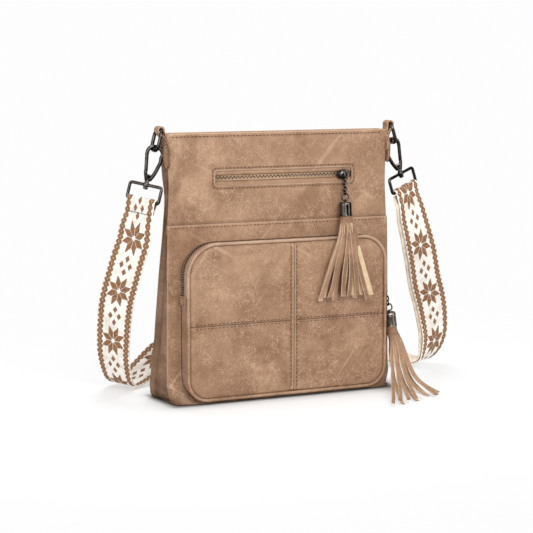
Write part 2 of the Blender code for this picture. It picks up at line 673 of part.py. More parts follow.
def tassel(name, eye, first_turn, links, link_length, metal, leather_finish, fringe_sections):
    """A chain of links, a ring and a cap with its fringe, hanging from an eye."""
    out, forward = (math.radians(angle) for angle in CHAIN_LEAN[name])
    hang = Matrix.Translation(eye) @ Matrix.Rotation(-out, 4, "Y") @ Matrix.Rotation(-forward, 4, "X")
    swing = empty(name + "_swing", hang)
    path = oval_path(link_length - LINK_WIRE, LINK_WIDTH - LINK_WIRE)
    below = 0.0
    last_wire = EYE_WIRE / 2
    for i in range(links):
        top = below + last_wire + LINK_WIRE / 2 + GAP
        centre = top - (link_length - LINK_WIRE) / 2
        mesh = flat_wire("link", path, LINK_WIRE / 2, 6, True)
        link = add_object(f"{name}_link_{i + 1}", mesh, metal, swing, True)
        link.location = (0, 0, centre)
        link.rotation_euler = (0, 0, math.radians(first_turn + 90 * i))
        below = centre - (link_length - LINK_WIRE) / 2
        last_wire = LINK_WIRE / 2
    radius = (RING_WIDTH - RING_WIRE) / 2
    centre = below + last_wire + RING_WIRE / 2 + GAP - radius
    ring_path = arc((0, 0), radius, 0, 360, 25)[:-1]
    mesh = flat_wire("ring", ring_path, RING_WIRE / 2, 8, True)
    ring = add_object(name + "_ring", mesh, metal, swing, True)
    ring.location = (0, 0, centre)
    ring_turn = first_turn + 90 * links
    ring.rotation_euler = (0, 0, math.radians(ring_turn))
    lowest = Matrix.Translation((0, 0, centre - radius))
    hinge = empty(name + "_hinge", lowest, swing)
    # The cap's top loop hangs on the ring's lowest point.
    loop_middle = RING_WIRE + GAP - CAP_EYE
    cap_top = -RING_WIRE / 2 - 0.0005
    inner = CAP_RADIUS - CAP_WALL
    foot = cap_top - CAP_LENGTH
    profile = [(inner, cap_top - CAP_WALL), (inner, foot + CAP_EDGE), (inner + CAP_EDGE, foot)]
    profile += [(CAP_RADIUS - CAP_EDGE, foot), (CAP_RADIUS, foot + 2 * CAP_EDGE)]
    profile += [(CAP_RADIUS, cap_top - 3 * CAP_EDGE), (CAP_RADIUS - 3 * CAP_EDGE, cap_top)]
    cap = add_object(name + "_cap", turned("cap", profile, 20), metal, hinge, True)
    loop = flat_wire("cap_eye", arc((0, 0), CAP_EYE, 0, 360, 17)[:-1], RING_WIRE / 2, 8, True)
    eye_object = helper_object(name + "_cap_eye", loop, hinge)
    turn = Matrix.Rotation(math.radians(ring_turn + 90), 4, "Z")
    eye_object.matrix_local = Matrix.Translation((0, 0, loop_middle)) @ turn
    combine(cap, eye_object, "UNION")
    neck_top = loop_middle - CAP_EYE - RING_WIRE / 2 - GAP
    sections = fringe_sections(Vector((0, 0, neck_top)), foot, inner - GAP, hang @ lowest)
    add_object(name + "_fringe", loft("fringe", sections), leather_finish, hinge)


def oval_ring_of_points(centre, across, through, sides=12):
    """One flattened cross-section of a fringe: across and through are its two half-axes."""
    turns = (np.arange(sides) * 2 * math.pi / sides)[:, None]
    ring = np.array(centre) + np.array(across) * np.cos(turns) + np.array(through) * np.sin(turns)
    return [tuple(point) for point in ring]


def front_fringe(top, foot, neck, place):
    """The strips leave the cap, lean out over the pocket's edge and hang spread in front of it.

    A station gives the height above the pocket's edge, the distance in front of it, the shift to the left,
    the half width and the half thickness.
    """
    back = place.inverted()
    stations = (
        (0.0185, -0.0125, 0.0000, 0.0054, 0.0054),
        (0.0140, -0.0080, 0.0010, 0.0066, 0.0056),
        (0.0085, 0.0000, 0.0030, 0.0080, 0.0050),
        (0.0030, 0.0066, 0.0048, 0.0100, 0.0040),
        (-0.0090, 0.0072, 0.0060, 0.0130, 0.0036),
        (-0.0290, 0.0070, 0.0066, 0.0200, 0.0032),
        (-0.0510, 0.0066, 0.0070, 0.0265, 0.0030),
        (-0.0700, 0.0062, 0.0074, 0.0310, 0.0026),
    )
    sections = [oval_ring_of_points((0, 0, z), (neck, 0, 0), (0, neck, 0)) for z in (top.z, foot + 0.001)]
    x = place.translation.x
    for above, ahead, aside, wide, thick in stations:
        centre = back @ Vector((x - aside, FACE_Y - ahead, POCKET_HIGH + above))
        sections.append(oval_ring_of_points(centre, (wide, 0, 0), (0, thick, 0)))
    return sections


def side_fringe(top, foot, neck, place):
    """The strips drop from the cap, bend on the floor and spread forwards over it.

    A station gives the offset outwards and forwards from the ring, the height as a share of the ring's,
    the half width, the half thickness and how far the section is tipped forwards, in degrees.
    """
    back = place.inverted()
    turn = place.to_3x3().inverted()
    stations = (
        (0.0060, -0.0050, 0.604, 0.0070, 0.0060, 0),
        (0.0040, -0.0130, 0.465, 0.0110, 0.0062, 12),
        (0.0000, -0.0270, 0.314, 0.0160, 0.0058, 28),
        (-0.0050, -0.0450, 0.181, 0.0230, 0.0050, 48),
        (-0.0095, -0.0650, 0.0966, 0.0320, 0.0042, 68),
        (-0.0130, -0.0850, 0.0507, 0.0395, 0.0030, 84),
    )
    heights = ((top.z, neck), (foot + 0.001, neck), (foot - 0.004, neck))
    sections = [oval_ring_of_points((0, 0, z), (r, 0, 0), (0, r, 0)) for z, r in heights]
    ring = place.translation
    slant = math.radians(FRINGE_SLANT)
    for out, forward, height, wide, thick, tip in stations:
        centre = back @ Vector((ring.x + out, ring.y + forward, height * ring.z))
        angle = math.radians(tip)
        through = turn @ Vector((0, math.cos(angle) * thick, -math.sin(angle) * thick))
        skew = slant * min(1, tip / 28)
        across = turn @ Vector((math.cos(skew) * wide, math.sin(skew) * wide, 0))
        sections.append(oval_ring_of_points(centre, across, through))
    return sections


def smooth_path(points, step):
    """Points along a Catmull-Rom curve through the given ones, about step apart, and their parameter."""
    points = np.asarray(points, float)
    knots = np.concatenate([[0], np.cumsum(np.linalg.norm(np.diff(points[:, :3], axis=0), axis=1) ** 0.5)])
    ends = np.vstack([2 * points[0] - points[1], points, 2 * points[-1] - points[-2]])
    spans = np.concatenate([[knots[1]], np.diff(knots), [knots[-1] - knots[-2]]])
    made = []
    for i in range(len(points) - 1):
        p0, p1, p2, p3 = ends[i : i + 4]
        a, b, c = spans[i], spans[i + 1], spans[i + 2]
        m1 = (p1 - p0) / a - (p2 - p0) / (a + b) + (p2 - p1) / b
        m2 = (p2 - p1) / b - (p3 - p1) / (b + c) + (p3 - p2) / c
        count = max(1, int(round(np.linalg.norm((p2 - p1)[:3]) / step)))
        t = np.linspace(0, 1, count, endpoint=False)[:, None]
        made.append(
            (2 * t**3 - 3 * t**2 + 1) * p1
            + (t**3 - 2 * t**2 + t) * b * m1
            + (3 * t**2 - 2 * t**3) * p2
            + (t**3 - t**2) * b * m2
        )
    return np.vstack(made + [points[-1:]])


def band(name, centre, across, face, thick, widths):
    half = np.asarray(widths)[:, None] / 2 * across
    deep = thick / 2 * face
    corners = [centre - half - deep, centre + half - deep, centre + half + deep, centre - half + deep]
    return loft(name, np.stack(corners, 1))


def ribbon(name, path, thick, widths):
    """A flat band along a path of rows (x, y, z, azimuth, tilt): the angles point across the band."""
    along, across, face = directions(path)
    return band(name, path[:, :3], across, face, thick, widths)


def side_frame(side):
    """Where one side's ring, hook and strap ring sit: local X points to the bag, Z up the hook."""
    facts = SIDES[side]
    way, lean = facts["way"], math.radians(facts["lean"])
    loop = Vector((way * (TOP_WIDTH / 2 + facts["loop_out"]), side_middle(), HEIGHT + facts["loop_up"]))
    inward = Vector((-way * math.cos(lean), 0, -math.sin(lean)))
    up = Vector((-way * math.sin(lean), 0, math.cos(lean)))
    across = up.cross(inward)
    turn = Matrix((inward, across, up)).transposed().to_4x4()
    drop = OVAL_LENGTH - OVAL_WIRE - (OVAL_WIRE + HOOK_WIRE) / 2 - HOOK_PLAY + HOOK_REACH
    bar = loop - up * drop
    return Matrix.Translation(loop) @ turn, Matrix.Translation(bar) @ turn


def side_middle():
    """Where the tabs, rings and hooks sit, front to back: a little in front of a gusset's middle."""
    return FRONT_Y + TOP_DEPTH / 2 - 0.0013


def strap_tab(side, finish):
    """A strip folded over the oval ring; both its ends lie on the gusset."""
    way = SIDES[side]["way"]
    loop = side_frame(side)[0].translation
    radius = OVAL_WIRE / 2 + GAP + TAB_LEATHER / 2 + 0.0005
    skin = GAP + TAB_LEATHER / 2

    def on_gusset(z, layers):
        return way * (float(gusset_outer(1 / 7, z)) + skin + layers * (TAB_LEATHER + GAP))

    low = HEIGHT - TAB_LENGTH
    mid = side_middle()
    points = [(on_gusset(z, 1), z) for z in (low, low + 0.012, low + 0.024)]
    points += [(on_gusset(HEIGHT - 0.007, 1) + way * 0.0004, HEIGHT - 0.007)]
    turned_over = arc((0, 0), radius, -15, 195, 11)
    points += [(loop.x + way * a, loop.z + b) for a, b in turned_over]
    points += [(on_gusset(z, 0), z) for z in (HEIGHT - 0.0085, HEIGHT - 0.016, HEIGHT - 0.024)]
    rows = [(x, mid, z, 90.0, 0.0) for x, z in points]
    path = smooth_path(rows, 0.0025)
    length = np.concatenate([[0], np.cumsum(np.linalg.norm(np.diff(path[:, :3], axis=0), axis=1))])
    half = TAB_WIDTH / 2
    ends = np.minimum(length, length[-1] - length)
    short = np.clip((half - ends) / half, 0, 0.93)
    above = np.clip((path[:, 2] - HEIGHT + 0.012) / 0.010, 0, 1)
    widths = TAB_WIDTH + (TAB_NECK - TAB_WIDTH) * above
    mesh = ribbon(side + "_tab", path, TAB_LEATHER, widths * np.sqrt(1 - short**2))
    return add_object(side + "_tab", mesh, finish)


def hook_wire_path():
    centre = (0.0, HOOK_REACH - HOOK_RADIUS)
    points = [(-HOOK_RADIUS, centre[1] - 0.0026), (-HOOK_RADIUS, centre[1] - 0.0012)]
    points += arc(centre, HOOK_RADIUS, 180, -22, 17)
    leg = ((0.0050, 0.0262), (0.0033, 0.0205), (0.0014, 0.0150), (0.0004, 0.0105))
    return points + list(leg)


def snap_hook(side, metal):
    """Oval ring, hook with its sprung gate, and the strap's rectangular ring on the hook's swivel."""
    loop_frame, bar_frame = side_frame(side)
    loop_place = empty(side + "_loop_place", loop_frame)
    half = (OVAL_WIDTH - OVAL_WIRE) / 2
    path = rounded((-half, OVAL_WIRE - OVAL_LENGTH), (half, 0), (OVAL_CORNER,) * 4, 7)
    mesh = flat_wire("oval", path, OVAL_WIRE / 2, 8, True)
    ring = add_object(side + "_oval_ring", mesh, metal, loop_place, True)
    ring.rotation_euler = (0, 0, math.pi / 2)

    place = empty(side + "_bar_place", bar_frame)
    mesh = flat_wire("hook", hook_wire_path(), HOOK_WIRE / 2, 8)
    body = add_object(side + "_hook_body", mesh, metal, place, True)
    outline = [(-0.0022, 0.0060), (0.0020, 0.0060), (0.0030, 0.0148), (-0.0054, 0.0148)]
    foot = helper_object(side + "_hook_foot", plate("foot", outline, -0.0026, 0.0026), place)
    combine(body, foot, "UNION")
    end = BOSS_HALF + GAP
    stud = [(0.0016, -end - 0.0021), (0.0026, -end - 0.0012), (0.0026, -end), (STUD_RADIUS, -end)]
    stud += [(STUD_RADIUS, end), (0.0022, end), (0.0019, 0.0068)]
    combine(body, helper_object(side + "_stud", turned("stud", stud, 12), place), "UNION")
    slot = box_mesh("slot", (-0.0080, -0.0013, 0.0088), (-0.0004, 0.0013, 0.0200))
    combine(body, helper_object(side + "_slot", slot, place), "DIFFERENCE")
    hole = PIN_RADIUS + PIN_CLEAR
    through = turned("pin_hole", [(hole, -CUT), (hole, CUT)], 12)
    to_pin = Matrix.Translation(GATE_PIVOT) @ Matrix.Rotation(math.pi / 2, 4, "X")
    pin_bore = helper_object(side + "_pin_bore", through, place)
    pin_bore.matrix_local = to_pin
    combine(body, pin_bore, "DIFFERENCE")

    pivot = empty(side + "_gate_pivot", Matrix.Translation(GATE_PIVOT), place)
    top = (-0.0068 - GATE_PIVOT[0], HOOK_REACH - HOOK_RADIUS - 0.0030 - GATE_PIVOT[2])
    foot_point = (-0.0009, 0.0046)
    mesh = flat_wire("gate", [foot_point, top], GATE_RADIUS, 10)
    gate = add_object(side + "_hook_gate", mesh, metal, pivot, True)
    tongue_outline = arc((0, 0), 0.0017, 150, 360, 9) + [(0.0009, 0.0062), (-0.0024, 0.0062)]
    tongue = helper_object(side + "_tongue", plate("tongue", tongue_outline, -0.0010, 0.0010), pivot)
    combine(gate, tongue, "UNION")
    gate_bore = helper_object(side + "_gate_bore", through.copy(), pivot)
    gate_bore.matrix_local = Matrix.Rotation(math.pi / 2, 4, "X")
    combine(gate, gate_bore, "DIFFERENCE")
    pin = turned("pin", [(PIN_RADIUS, -PIN_HALF), (PIN_RADIUS, PIN_HALF)], 10)
    pin_object = add_object(side + "_gate_pin", pin, metal, place, True)
    pin_object.matrix_local = to_pin

    half = RECT_WIDTH / 2
    path = rounded((-half, -RECT_DROP), (half, 0), (RECT_CORNER,) * 4, 4)
    mesh = flat_wire("rect", path, RECT_WIRE / 2, 8, True)
    rect = add_object(side + "_rect_ring", mesh, metal, place, True)
    turn = Matrix.Rotation(math.radians(SIDES[side]["bar_turn"]), 4, "Z")
    rect.matrix_local = turn
    boss = turned("boss", [(BOSS_RADIUS, -BOSS_HALF), (BOSS_RADIUS, BOSS_HALF)], 16)
    combine(rect, helper_object(side + "_boss", boss, place), "UNION")
    clear = STUD_RADIUS + STUD_CLEAR
    bore = turned("bore", [(clear, -CUT), (clear, CUT)], 12)
    combine(rect, helper_object(side + "_boss_bore", bore, place), "DIFFERENCE")


def strap_end(side):
    """Lower bar centre, the band's direction across, down and outwards, at one strap ring."""
    frame = side_frame(side)[1]
    turn = frame.to_3x3() @ Matrix.Rotation(math.radians(SIDES[side]["bar_turn"]), 3, "Z")
    across, up = turn @ Vector((1, 0, 0)), turn @ Vector((0, 0, 1))
    outward = up.cross(across) * -1
    if outward.y > 0:
        outward = -outward
    return frame @ Vector((0, 0, -RECT_DROP)), across, -up, outward


def angles(across):
    return math.degrees(math.atan2(across.y, across.x)), math.degrees(math.asin(across.z))


# The strap's free route: x, y, z of the band's middle, then the azimuth and tilt of its width.
LEFT_ROUTE = (
    (-0.1626, -0.0030, 0.1732, -46, 0),
    (-0.1667, 0.0050, 0.1515, -42, 0),
    (-0.1688, 0.0160, 0.1295, -39, 0),
    (-0.1699, 0.0290, 0.1065, -38, 0),
    (-0.1680, 0.0420, 0.0830, -39, 0),
    (-0.1650, 0.0540, 0.0595, -42, 0),
    (-0.1617, 0.0630, 0.0405, -47, 0),
    (-0.1558, 0.0720, 0.0235, -54, 0),
    (-0.1490, 0.0800, 0.0105, -61, 0),
    (-0.1385, 0.0890, 0.0036, -67, -2),
    (-0.1260, 0.0960, 0.0062, -69, -9),
    (-0.1080, 0.1030, 0.0160, -72, -24),
    (-0.0850, 0.1110, 0.0300, -76, -36),
    (-0.0550, 0.1180, 0.0440, -80, -43),
    (-0.0200, 0.1240, 0.0560, -85, -46),
)
RIGHT_ROUTE = (
    (0.0200, 0.1270, 0.0620, -92, -47),
    (0.0600, 0.1260, 0.0590, -100, -46),
    (0.0900, 0.1223, 0.0528, -107, -42),
    (0.1052, 0.1188, 0.0463, -111, -39),
    (0.1160, 0.1160, 0.0420, -111, -39),
    (0.1268, 0.1132, 0.0377, -111, -39),
    (0.1430, 0.1076, 0.0306, -116, -34),
    (0.1680, 0.0960, 0.0200, -124, -23),
    (0.1950, 0.0800, 0.0100, -132, -11),
    (0.2150, 0.0670, 0.0044, -139, -2),
    (0.2270, 0.0590, 0.0080, -146, 0),
    (0.2330, 0.0540, 0.0190, -153, 0),
    (0.2350, 0.0490, 0.0360, -161, 0),
    (0.2315, 0.0430, 0.0585, -168, 0),
    (0.2230, 0.0340, 0.0810, -171, 0),
    (0.2095, 0.0230, 0.1065, -170, 0),
    (0.1970, 0.0110, 0.1370, -166, 0),
    (0.1855, 0.0020, 0.1610, -162, 0),
    (0.1745, -0.0040, 0.1845, -160, 0),
)
SLIDE_AT = 4  # the row of the right route at which the slide sits
# How far the doubled-back layer lies from the main one, at each distance along it from the slide.
LAYER_SPACES = (
    (0.0, 0.0080),
    (0.012, 0.0072),
    (0.05, 0.0050),
    (0.14, 0.0052),
    (0.24, 0.0062),
    (0.40, 0.0058),
)
SEWN = (0.013, 0.026)  # distances below the left ring at which the band's end lies against it


def directions(path):
    """Unit vectors along a band, across it and out of its face, at each row of its path."""
    azimuth, tilt = np.radians(path[:, 3]), np.radians(path[:, 4])
    across = np.stack([np.cos(azimuth) * np.cos(tilt), np.sin(azimuth) * np.cos(tilt), np.sin(tilt)], 1)
    along = np.gradient(path[:, :3], axis=0)
    along /= np.linalg.norm(along, axis=1, keepdims=True)
    across -= along * (across * along).sum(1, keepdims=True)
    across /= np.linalg.norm(across, axis=1, keepdims=True)
    return along, across, np.cross(along, across)


def over_bar(bar, down, out, reach):
    """Middles of a band that goes half round a ring's bar, from its inner side to its outer one."""
    turns = np.radians(np.linspace(0, 180, 9))
    return [bar - out * reach * math.cos(t) - down * reach * math.sin(t) for t in turns]


def main_band():
    """The path of the main band, from its sewn end at the left ring to its bend over the right one."""
    reach = RECT_WIRE / 2 + GAP + STRAP_THICK / 2
    near = STRAP_THICK / 2 + GAP
    bar, across, down, out = strap_end("left")
    turn = angles(across)
    start = [(*(bar + down * d - out * near), *turn) for d in SEWN[::-1]]
    start += [(*point, *turn) for point in over_bar(bar, down, out, reach)]
    start += [(*(bar + down * SEWN[0] + out * near), *turn)]
    start += [(*(bar + down * SEWN[1] + out * near), -52, turn[1] / 2)]

    bar, across, down, out = strap_end("right")
    azimuth, tilt = angles(-across if across.x > 0 else across)
    azimuth -= 360 * (azimuth > 0)
    stop = [(*(bar + down * SEWN[0] + out * near * 2), azimuth + 1, tilt)]
    stop += [(*point, azimuth, tilt) for point in over_bar(bar, down, -out, reach)]
    route = start + list(LEFT_ROUTE) + list(RIGHT_ROUTE) + stop
    return smooth_path(route, STRAP_STEP), np.array(stop[0][:3])


def strap(cloth, metal):
    path, last_point = main_band()
    add_object("strap", ribbon("strap", path, STRAP_THICK, np.full(len(path), STRAP_WIDTH)), cloth)

    along, across, face = directions(path)
    centre = path[:, :3]
    first = int(np.argmin(np.linalg.norm(centre - np.array(RIGHT_ROUTE[SLIDE_AT][:3]), axis=1)))
    last = int(np.argmin(np.linalg.norm(centre - last_point, axis=1)))
    bar, _, down, out = strap_end("right")
    inwards = face * (-1 if face[last] @ np.array(out) > 0 else 1)
    steps = np.linalg.norm(np.diff(centre[first : last + 1], axis=0), axis=1)
    run = np.concatenate([[0], np.cumsum(steps)])
    apart = np.interp(run, *zip(*LAYER_SPACES))
    bar_apart = STRAP_THICK * 1.5 + SLIDE_PLAY + GAP + SLIDE_WIRE / 2
    wrap = SLIDE_WIRE / 2 + GAP + STRAP_THICK / 2
    turns = np.radians(np.linspace(0, 180, 7))[:, None]
    middle = centre[first] + inwards[first] * bar_apart
    bend = middle - inwards[first] * wrap * np.cos(turns) - along[first] * wrap * np.sin(turns)
    tail = [bend[0] + along[first] * d for d in (0.008, 0.003)]
    bend_face = inwards[first] * np.cos(turns) + along[first] * np.sin(turns)
    inner = slice(first + 1, last + 1)
    doubled = centre[inner] + inwards[inner] * apart[1:, None]
    reach = RECT_WIRE / 2 + GAP + STRAP_THICK / 2
    end = np.array(bar - out * (reach + RING_SLACK) + down * 0.003)[None, :]
    middles = np.concatenate([tail, bend, doubled, end])
    start_sides = np.tile(across[first], (len(tail) + len(bend), 1))
    sides = np.concatenate([start_sides, across[inner], across[last : last + 1]])
    faces = np.concatenate([[inwards[first]] * 2, bend_face, -inwards[inner], -inwards[last : last + 1]])
    mesh = band("strap_return", middles, sides, faces, STRAP_THICK, np.full(len(middles), STRAP_WIDTH))
    add_object("strap_return", mesh, cloth)
    frame = Matrix((across[first], inwards[first], along[first])).transposed().to_4x4()
    slide(Matrix.Translation(centre[first]) @ frame, bar_apart, metal)


def slide(frame, bar_apart, metal):
    """Three bars between two rails: the band runs between the outer bars and the middle one."""
    place = empty("slide_place", frame)
    edge = STRAP_WIDTH / 2 + RAIL_CLEAR
    half = SLIDE_LENGTH / 2
    front = -(STRAP_THICK / 2 + SLIDE_PLAY + SLIDE_WIRE)
    back = bar_apart + SLIDE_WIRE / 2
    mesh = box_mesh("rail", (-edge - RAIL, front, -half), (-edge, back, half))
    rail = add_object("strap_slide", mesh, metal, place)
    bevel(rail, 0.0006, 1)
    other = box_mesh("rail", (edge, front, -half), (edge + RAIL, back, half))
    combine(rail, helper_object("slide_rail", other, place), "UNION")
    w = SLIDE_WIRE / 2
    for i, (y, z) in enumerate(((front + w, w - half), (front + w, half - w), (bar_apart, 0.0))):
        bar = turned("bar", [(w, -edge - RAIL / 2), (w, edge + RAIL / 2)], 10)
        bar_object = helper_object(f"slide_bar_{i + 1}", bar, place)
        bar_object.matrix_local = Matrix.Translation((0, y, z)) @ Matrix.Rotation(math.pi / 2, 4, "Y")
        combine(rail, bar_object, "UNION")


def main():
    clear_scene()
    leather = material("tan leather", (0.36, 0.22, 0.13), 0.55)
    piping = material("rosy leather", (0.48, 0.31, 0.22), 0.5)
    cloth = material("lining cloth", (0.20, 0.14, 0.09), 0.9)
    webbing = material("woven strap", (0.80, 0.76, 0.68), 0.85)
    board = material("fibre board", (0.25, 0.2, 0.15), 0.9)
    tape = material("zip tape and teeth", (0.12, 0.10, 0.09), 0.5, 0.4)
    metal = material("dark nickel", (0.10, 0.10, 0.10), 0.25, 1.0)

    body_panels(leather)
    inside_pieces(board, cloth)
    top_zip(tape, metal)
    front_eye = front_zip(leather, tape, cloth, metal)
    side_eye = pocket(leather, piping, tape, metal)
    tassel("front", front_eye, 0, FRONT_LINKS, FRONT_LINK, metal, leather, front_fringe)
    tassel("side", side_eye, 90, SIDE_LINKS, SIDE_LINK, metal, leather, side_fringe)
    for side in SIDES:
        strap_tab(side, leather)
        snap_hook(side, metal)
    strap(webbing, metal)


main()
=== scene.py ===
# %% [markdown]
# # A crossbody bag with two tassels and a woven strap
#
# The bag is a flat leather body with a front zip, a piped patch pocket, a tassel on each outer
# zip and a woven strap on spring hooks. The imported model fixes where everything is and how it
# moves. This file loads it and then makes what is seen: thin leather with folded edges, real
# rows of stitches and zip teeth, cut tassel strips and a woven band with its pattern.

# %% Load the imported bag
import math

import bmesh
import bpy
import numpy as np
from mathutils import Matrix, Vector


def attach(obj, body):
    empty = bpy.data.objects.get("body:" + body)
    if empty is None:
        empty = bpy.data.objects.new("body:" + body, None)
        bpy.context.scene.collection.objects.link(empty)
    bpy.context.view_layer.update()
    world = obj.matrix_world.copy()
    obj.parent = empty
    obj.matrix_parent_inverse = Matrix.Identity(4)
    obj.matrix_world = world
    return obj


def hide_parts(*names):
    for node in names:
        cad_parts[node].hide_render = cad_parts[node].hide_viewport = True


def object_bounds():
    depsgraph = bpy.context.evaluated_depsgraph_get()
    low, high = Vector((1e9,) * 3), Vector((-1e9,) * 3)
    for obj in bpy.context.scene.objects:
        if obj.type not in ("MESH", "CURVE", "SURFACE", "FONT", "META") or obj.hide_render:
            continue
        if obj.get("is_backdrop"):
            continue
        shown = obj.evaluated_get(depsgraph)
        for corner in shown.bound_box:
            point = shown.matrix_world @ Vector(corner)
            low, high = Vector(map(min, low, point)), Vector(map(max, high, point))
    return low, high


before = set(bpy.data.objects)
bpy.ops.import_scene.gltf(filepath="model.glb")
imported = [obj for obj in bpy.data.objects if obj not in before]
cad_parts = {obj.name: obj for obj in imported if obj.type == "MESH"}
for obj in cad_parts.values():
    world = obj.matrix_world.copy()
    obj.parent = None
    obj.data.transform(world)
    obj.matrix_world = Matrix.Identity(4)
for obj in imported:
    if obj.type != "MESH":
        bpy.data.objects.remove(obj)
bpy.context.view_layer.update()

MM = 0.001

# %% [markdown]
# ## Camera
#
# The photograph was taken from a little left of the front and slightly above, with a long lens.
# The camera looks at the front of the bag from 1.7 m away.

# %% Camera
AZIMUTH, ELEVATION, DISTANCE = math.radians(25.7), math.radians(7.25), 1.7
LOOK_AT = Vector((-0.0722, -0.1337, 0.1557))
FOCAL_PIXELS, PHOTO_PIXELS, SENSOR = 1.005 * 1700, 533, 36
backwards = Vector((-math.sin(AZIMUTH), -math.cos(AZIMUTH), math.tan(ELEVATION))).normalized()
camera = bpy.data.objects.new("camera", bpy.data.cameras.new("camera"))
camera.data.lens = FOCAL_PIXELS / PHOTO_PIXELS * SENSOR
camera.location = LOOK_AT + DISTANCE * backwards
camera.rotation_euler = backwards.to_track_quat("Z", "Y").to_euler()
bpy.context.scene.collection.objects.link(camera)
bpy.context.scene.camera = camera
print("lens", round(camera.data.lens, 1), "mm")

# %% [markdown]
# ## Shapes as arrays
#
# Every new piece here is a surface worked out with numpy. A shape is a small dictionary: its
# points, its four-sided faces, its end caps, and a flat position (u, v) in metres for every
# corner of a face, which woven and sewn patterns follow. "part" says which of the piece's
# finishes a face has, and "edge" how much painted shade a point takes in a seam's valley or,
# where it is negative, how pale a fold or ridge is painted, partly as rubbed wear and partly as
# a painted highlight. Shapes can be stamped many times, as stitches and teeth are, and joined
# into one piece.


# %% Grids, copies and joins
def spread(*numbers):
    """Points from numbers or arrays of different shapes, each repeated over the others."""
    return np.stack(np.broadcast_arrays(*numbers), -1)


def unit(vectors):
    """Vectors divided by their lengths."""
    return vectors / np.linalg.norm(vectors, axis=-1, keepdims=True)


def grid(points, flat=None, rows_close=False, columns_close=False, capped=False):
    """The faces of a grid of points, (rows, columns, 3): each joins two rows and two columns.
    flat is the (u, v) of each point; a row or column more in it is where a loop closes."""
    points = np.asarray(points, float)
    rows, columns = points.shape[:2]
    i = np.arange(rows if rows_close else rows - 1)[:, None]
    j = np.arange(columns if columns_close else columns - 1)[None, :]
    corners = ((i, j), (i, j + 1), (i + 1, j + 1), (i + 1, j))
    quads = np.stack([a % rows * columns + b % columns for a, b in corners], -1).reshape(-1, 4)
    flat = np.zeros((1, 1, 2)) if flat is None else flat
    uv = np.stack([flat[a % len(flat), b % flat.shape[1]] for a, b in corners], 2).reshape(-1, 2)
    caps = [np.arange(columns)[::-1],
            np.arange((rows - 1) * columns, rows * columns)] if capped else []
    return {"points": points.reshape(-1, 3), "quads": quads, "uv": uv, "caps": caps,
            "part": np.zeros(len(quads), int), "edge": np.zeros(rows * columns)}


def sleeve(rings, flat=None):
    """A closed body: rings of points joined to one another, with a cap at both ends."""
    return grid(rings, flat, columns_close=True, capped=True)


def join(shapes):
    """Several shapes as one: each one's faces count its points from where the last one's end."""
    starts = np.cumsum([0] + [len(s["points"]) for s in shapes[:-1]])
    shapes = [dict(s, quads=s["quads"] + n, caps=[c + n for c in s["caps"]])
              for s, n in zip(shapes, starts)]
    made = {key: np.concatenate([s[key] for s in shapes])
            for key in ("points", "quads", "uv", "part", "edge")}
    return dict(made, caps=[cap for s in shapes for cap in s["caps"]])


def stamp(shape, frames):
    """Copies of a shape at many places: frames is (count, 4, 4), all copies worked out together."""
    count = len(frames)
    points = np.einsum("kab,nb->kna", frames[:, :3, :3], shape["points"]) + frames[:, None, :3, 3]
    starts = np.arange(count) * len(shape["points"])
    return {"points": points.reshape(-1, 3),
            "quads": (shape["quads"] + starts[:, None, None]).reshape(-1, 4),
            "uv": np.tile(shape["uv"], (count, 1)),
            "caps": [cap + n for n in starts for cap in shape["caps"]],
            "part": np.tile(shape["part"], count), "edge": np.tile(shape["edge"], count)}


def moved(shape, matrix):
    """One copy of a shape, moved by a matrix."""
    return stamp(shape, np.array(matrix)[None])


# %% [markdown]
# ## From a shape to a piece
#
# A piece rides on one body of the imported model and stands for the imported solids that it hides.
# Thin leather is a single surface that a Solidify modifier makes thick, so its rim shows as a
# cut edge.

# %% Pieces
SLOT_OF = {}  # the record's slot of each finish, filled in as the finishes are made


def turn_outwards(mesh):
    """Turns every face the way out, as Blender's Recalculate Outside does."""
    shape = bmesh.new()
    shape.from_mesh(mesh)
    bmesh.ops.recalc_face_normals(shape, faces=shape.faces)
    shape.to_mesh(mesh)
    shape.free()


def face_towards(mesh, way):
    """Turns an open sheet over where most of it points away from a direction."""
    normals = np.zeros(len(mesh.polygons) * 3, np.float32)
    mesh.polygons.foreach_get("normal", normals)
    if (normals.reshape(-1, 3) @ np.array(way)).sum() < 0:
        mesh.flip_normals()


def piece(name, shape, finishes, stands_for=(), body="bag", facing=None, thick=0.0, angle=50,
          slot=None):
    """Links a shape as a smooth piece. A closed shape is turned to face out; an open one faces
    the way that facing gives, and thick is then its thickness behind that face."""
    finishes = finishes if isinstance(finishes, list) else [finishes]
    mesh = bpy.data.meshes.new(name)
    caps = shape["caps"]
    mesh.from_pydata(shape["points"].tolist(), [],
                     shape["quads"].tolist() + [cap.tolist() for cap in caps])
    uv = np.concatenate([shape["uv"], np.zeros((sum(len(cap) for cap in caps), 2))])
    mesh.uv_layers.new(name="UVMap").data.foreach_set("uv", uv.astype(np.float32).ravel())
    edge = mesh.attributes.new("edge", "FLOAT", "POINT")
    edge.data.foreach_set("value", shape["edge"].astype(np.float32))
    part = np.concatenate([shape["part"], np.full(len(caps), shape["part"][-1])]).astype(np.int32)
    mesh.polygons.foreach_set("material_index", part)
    if facing is None:
        turn_outwards(mesh)
    else:
        face_towards(mesh, facing)
    for finish in finishes:
        mesh.materials.append(finish)
    made = bpy.data.objects.new(name, mesh)
    bpy.context.scene.collection.objects.link(made)
    if thick:
        wall = made.modifiers.new("leather thickness", "SOLIDIFY")
        wall.thickness = thick
        wall.offset = -1
        wall.material_offset_rim = len(finishes) - 1
    mesh.shade_smooth()
    mesh.set_sharp_from_angle(angle=math.radians(angle))
    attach(made, body)
    if stands_for:
        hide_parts(*stands_for)
    slot = slot or SLOT_OF[finishes[0].name]
    print(name, len(shape["quads"]), "faces on", body)
    return made


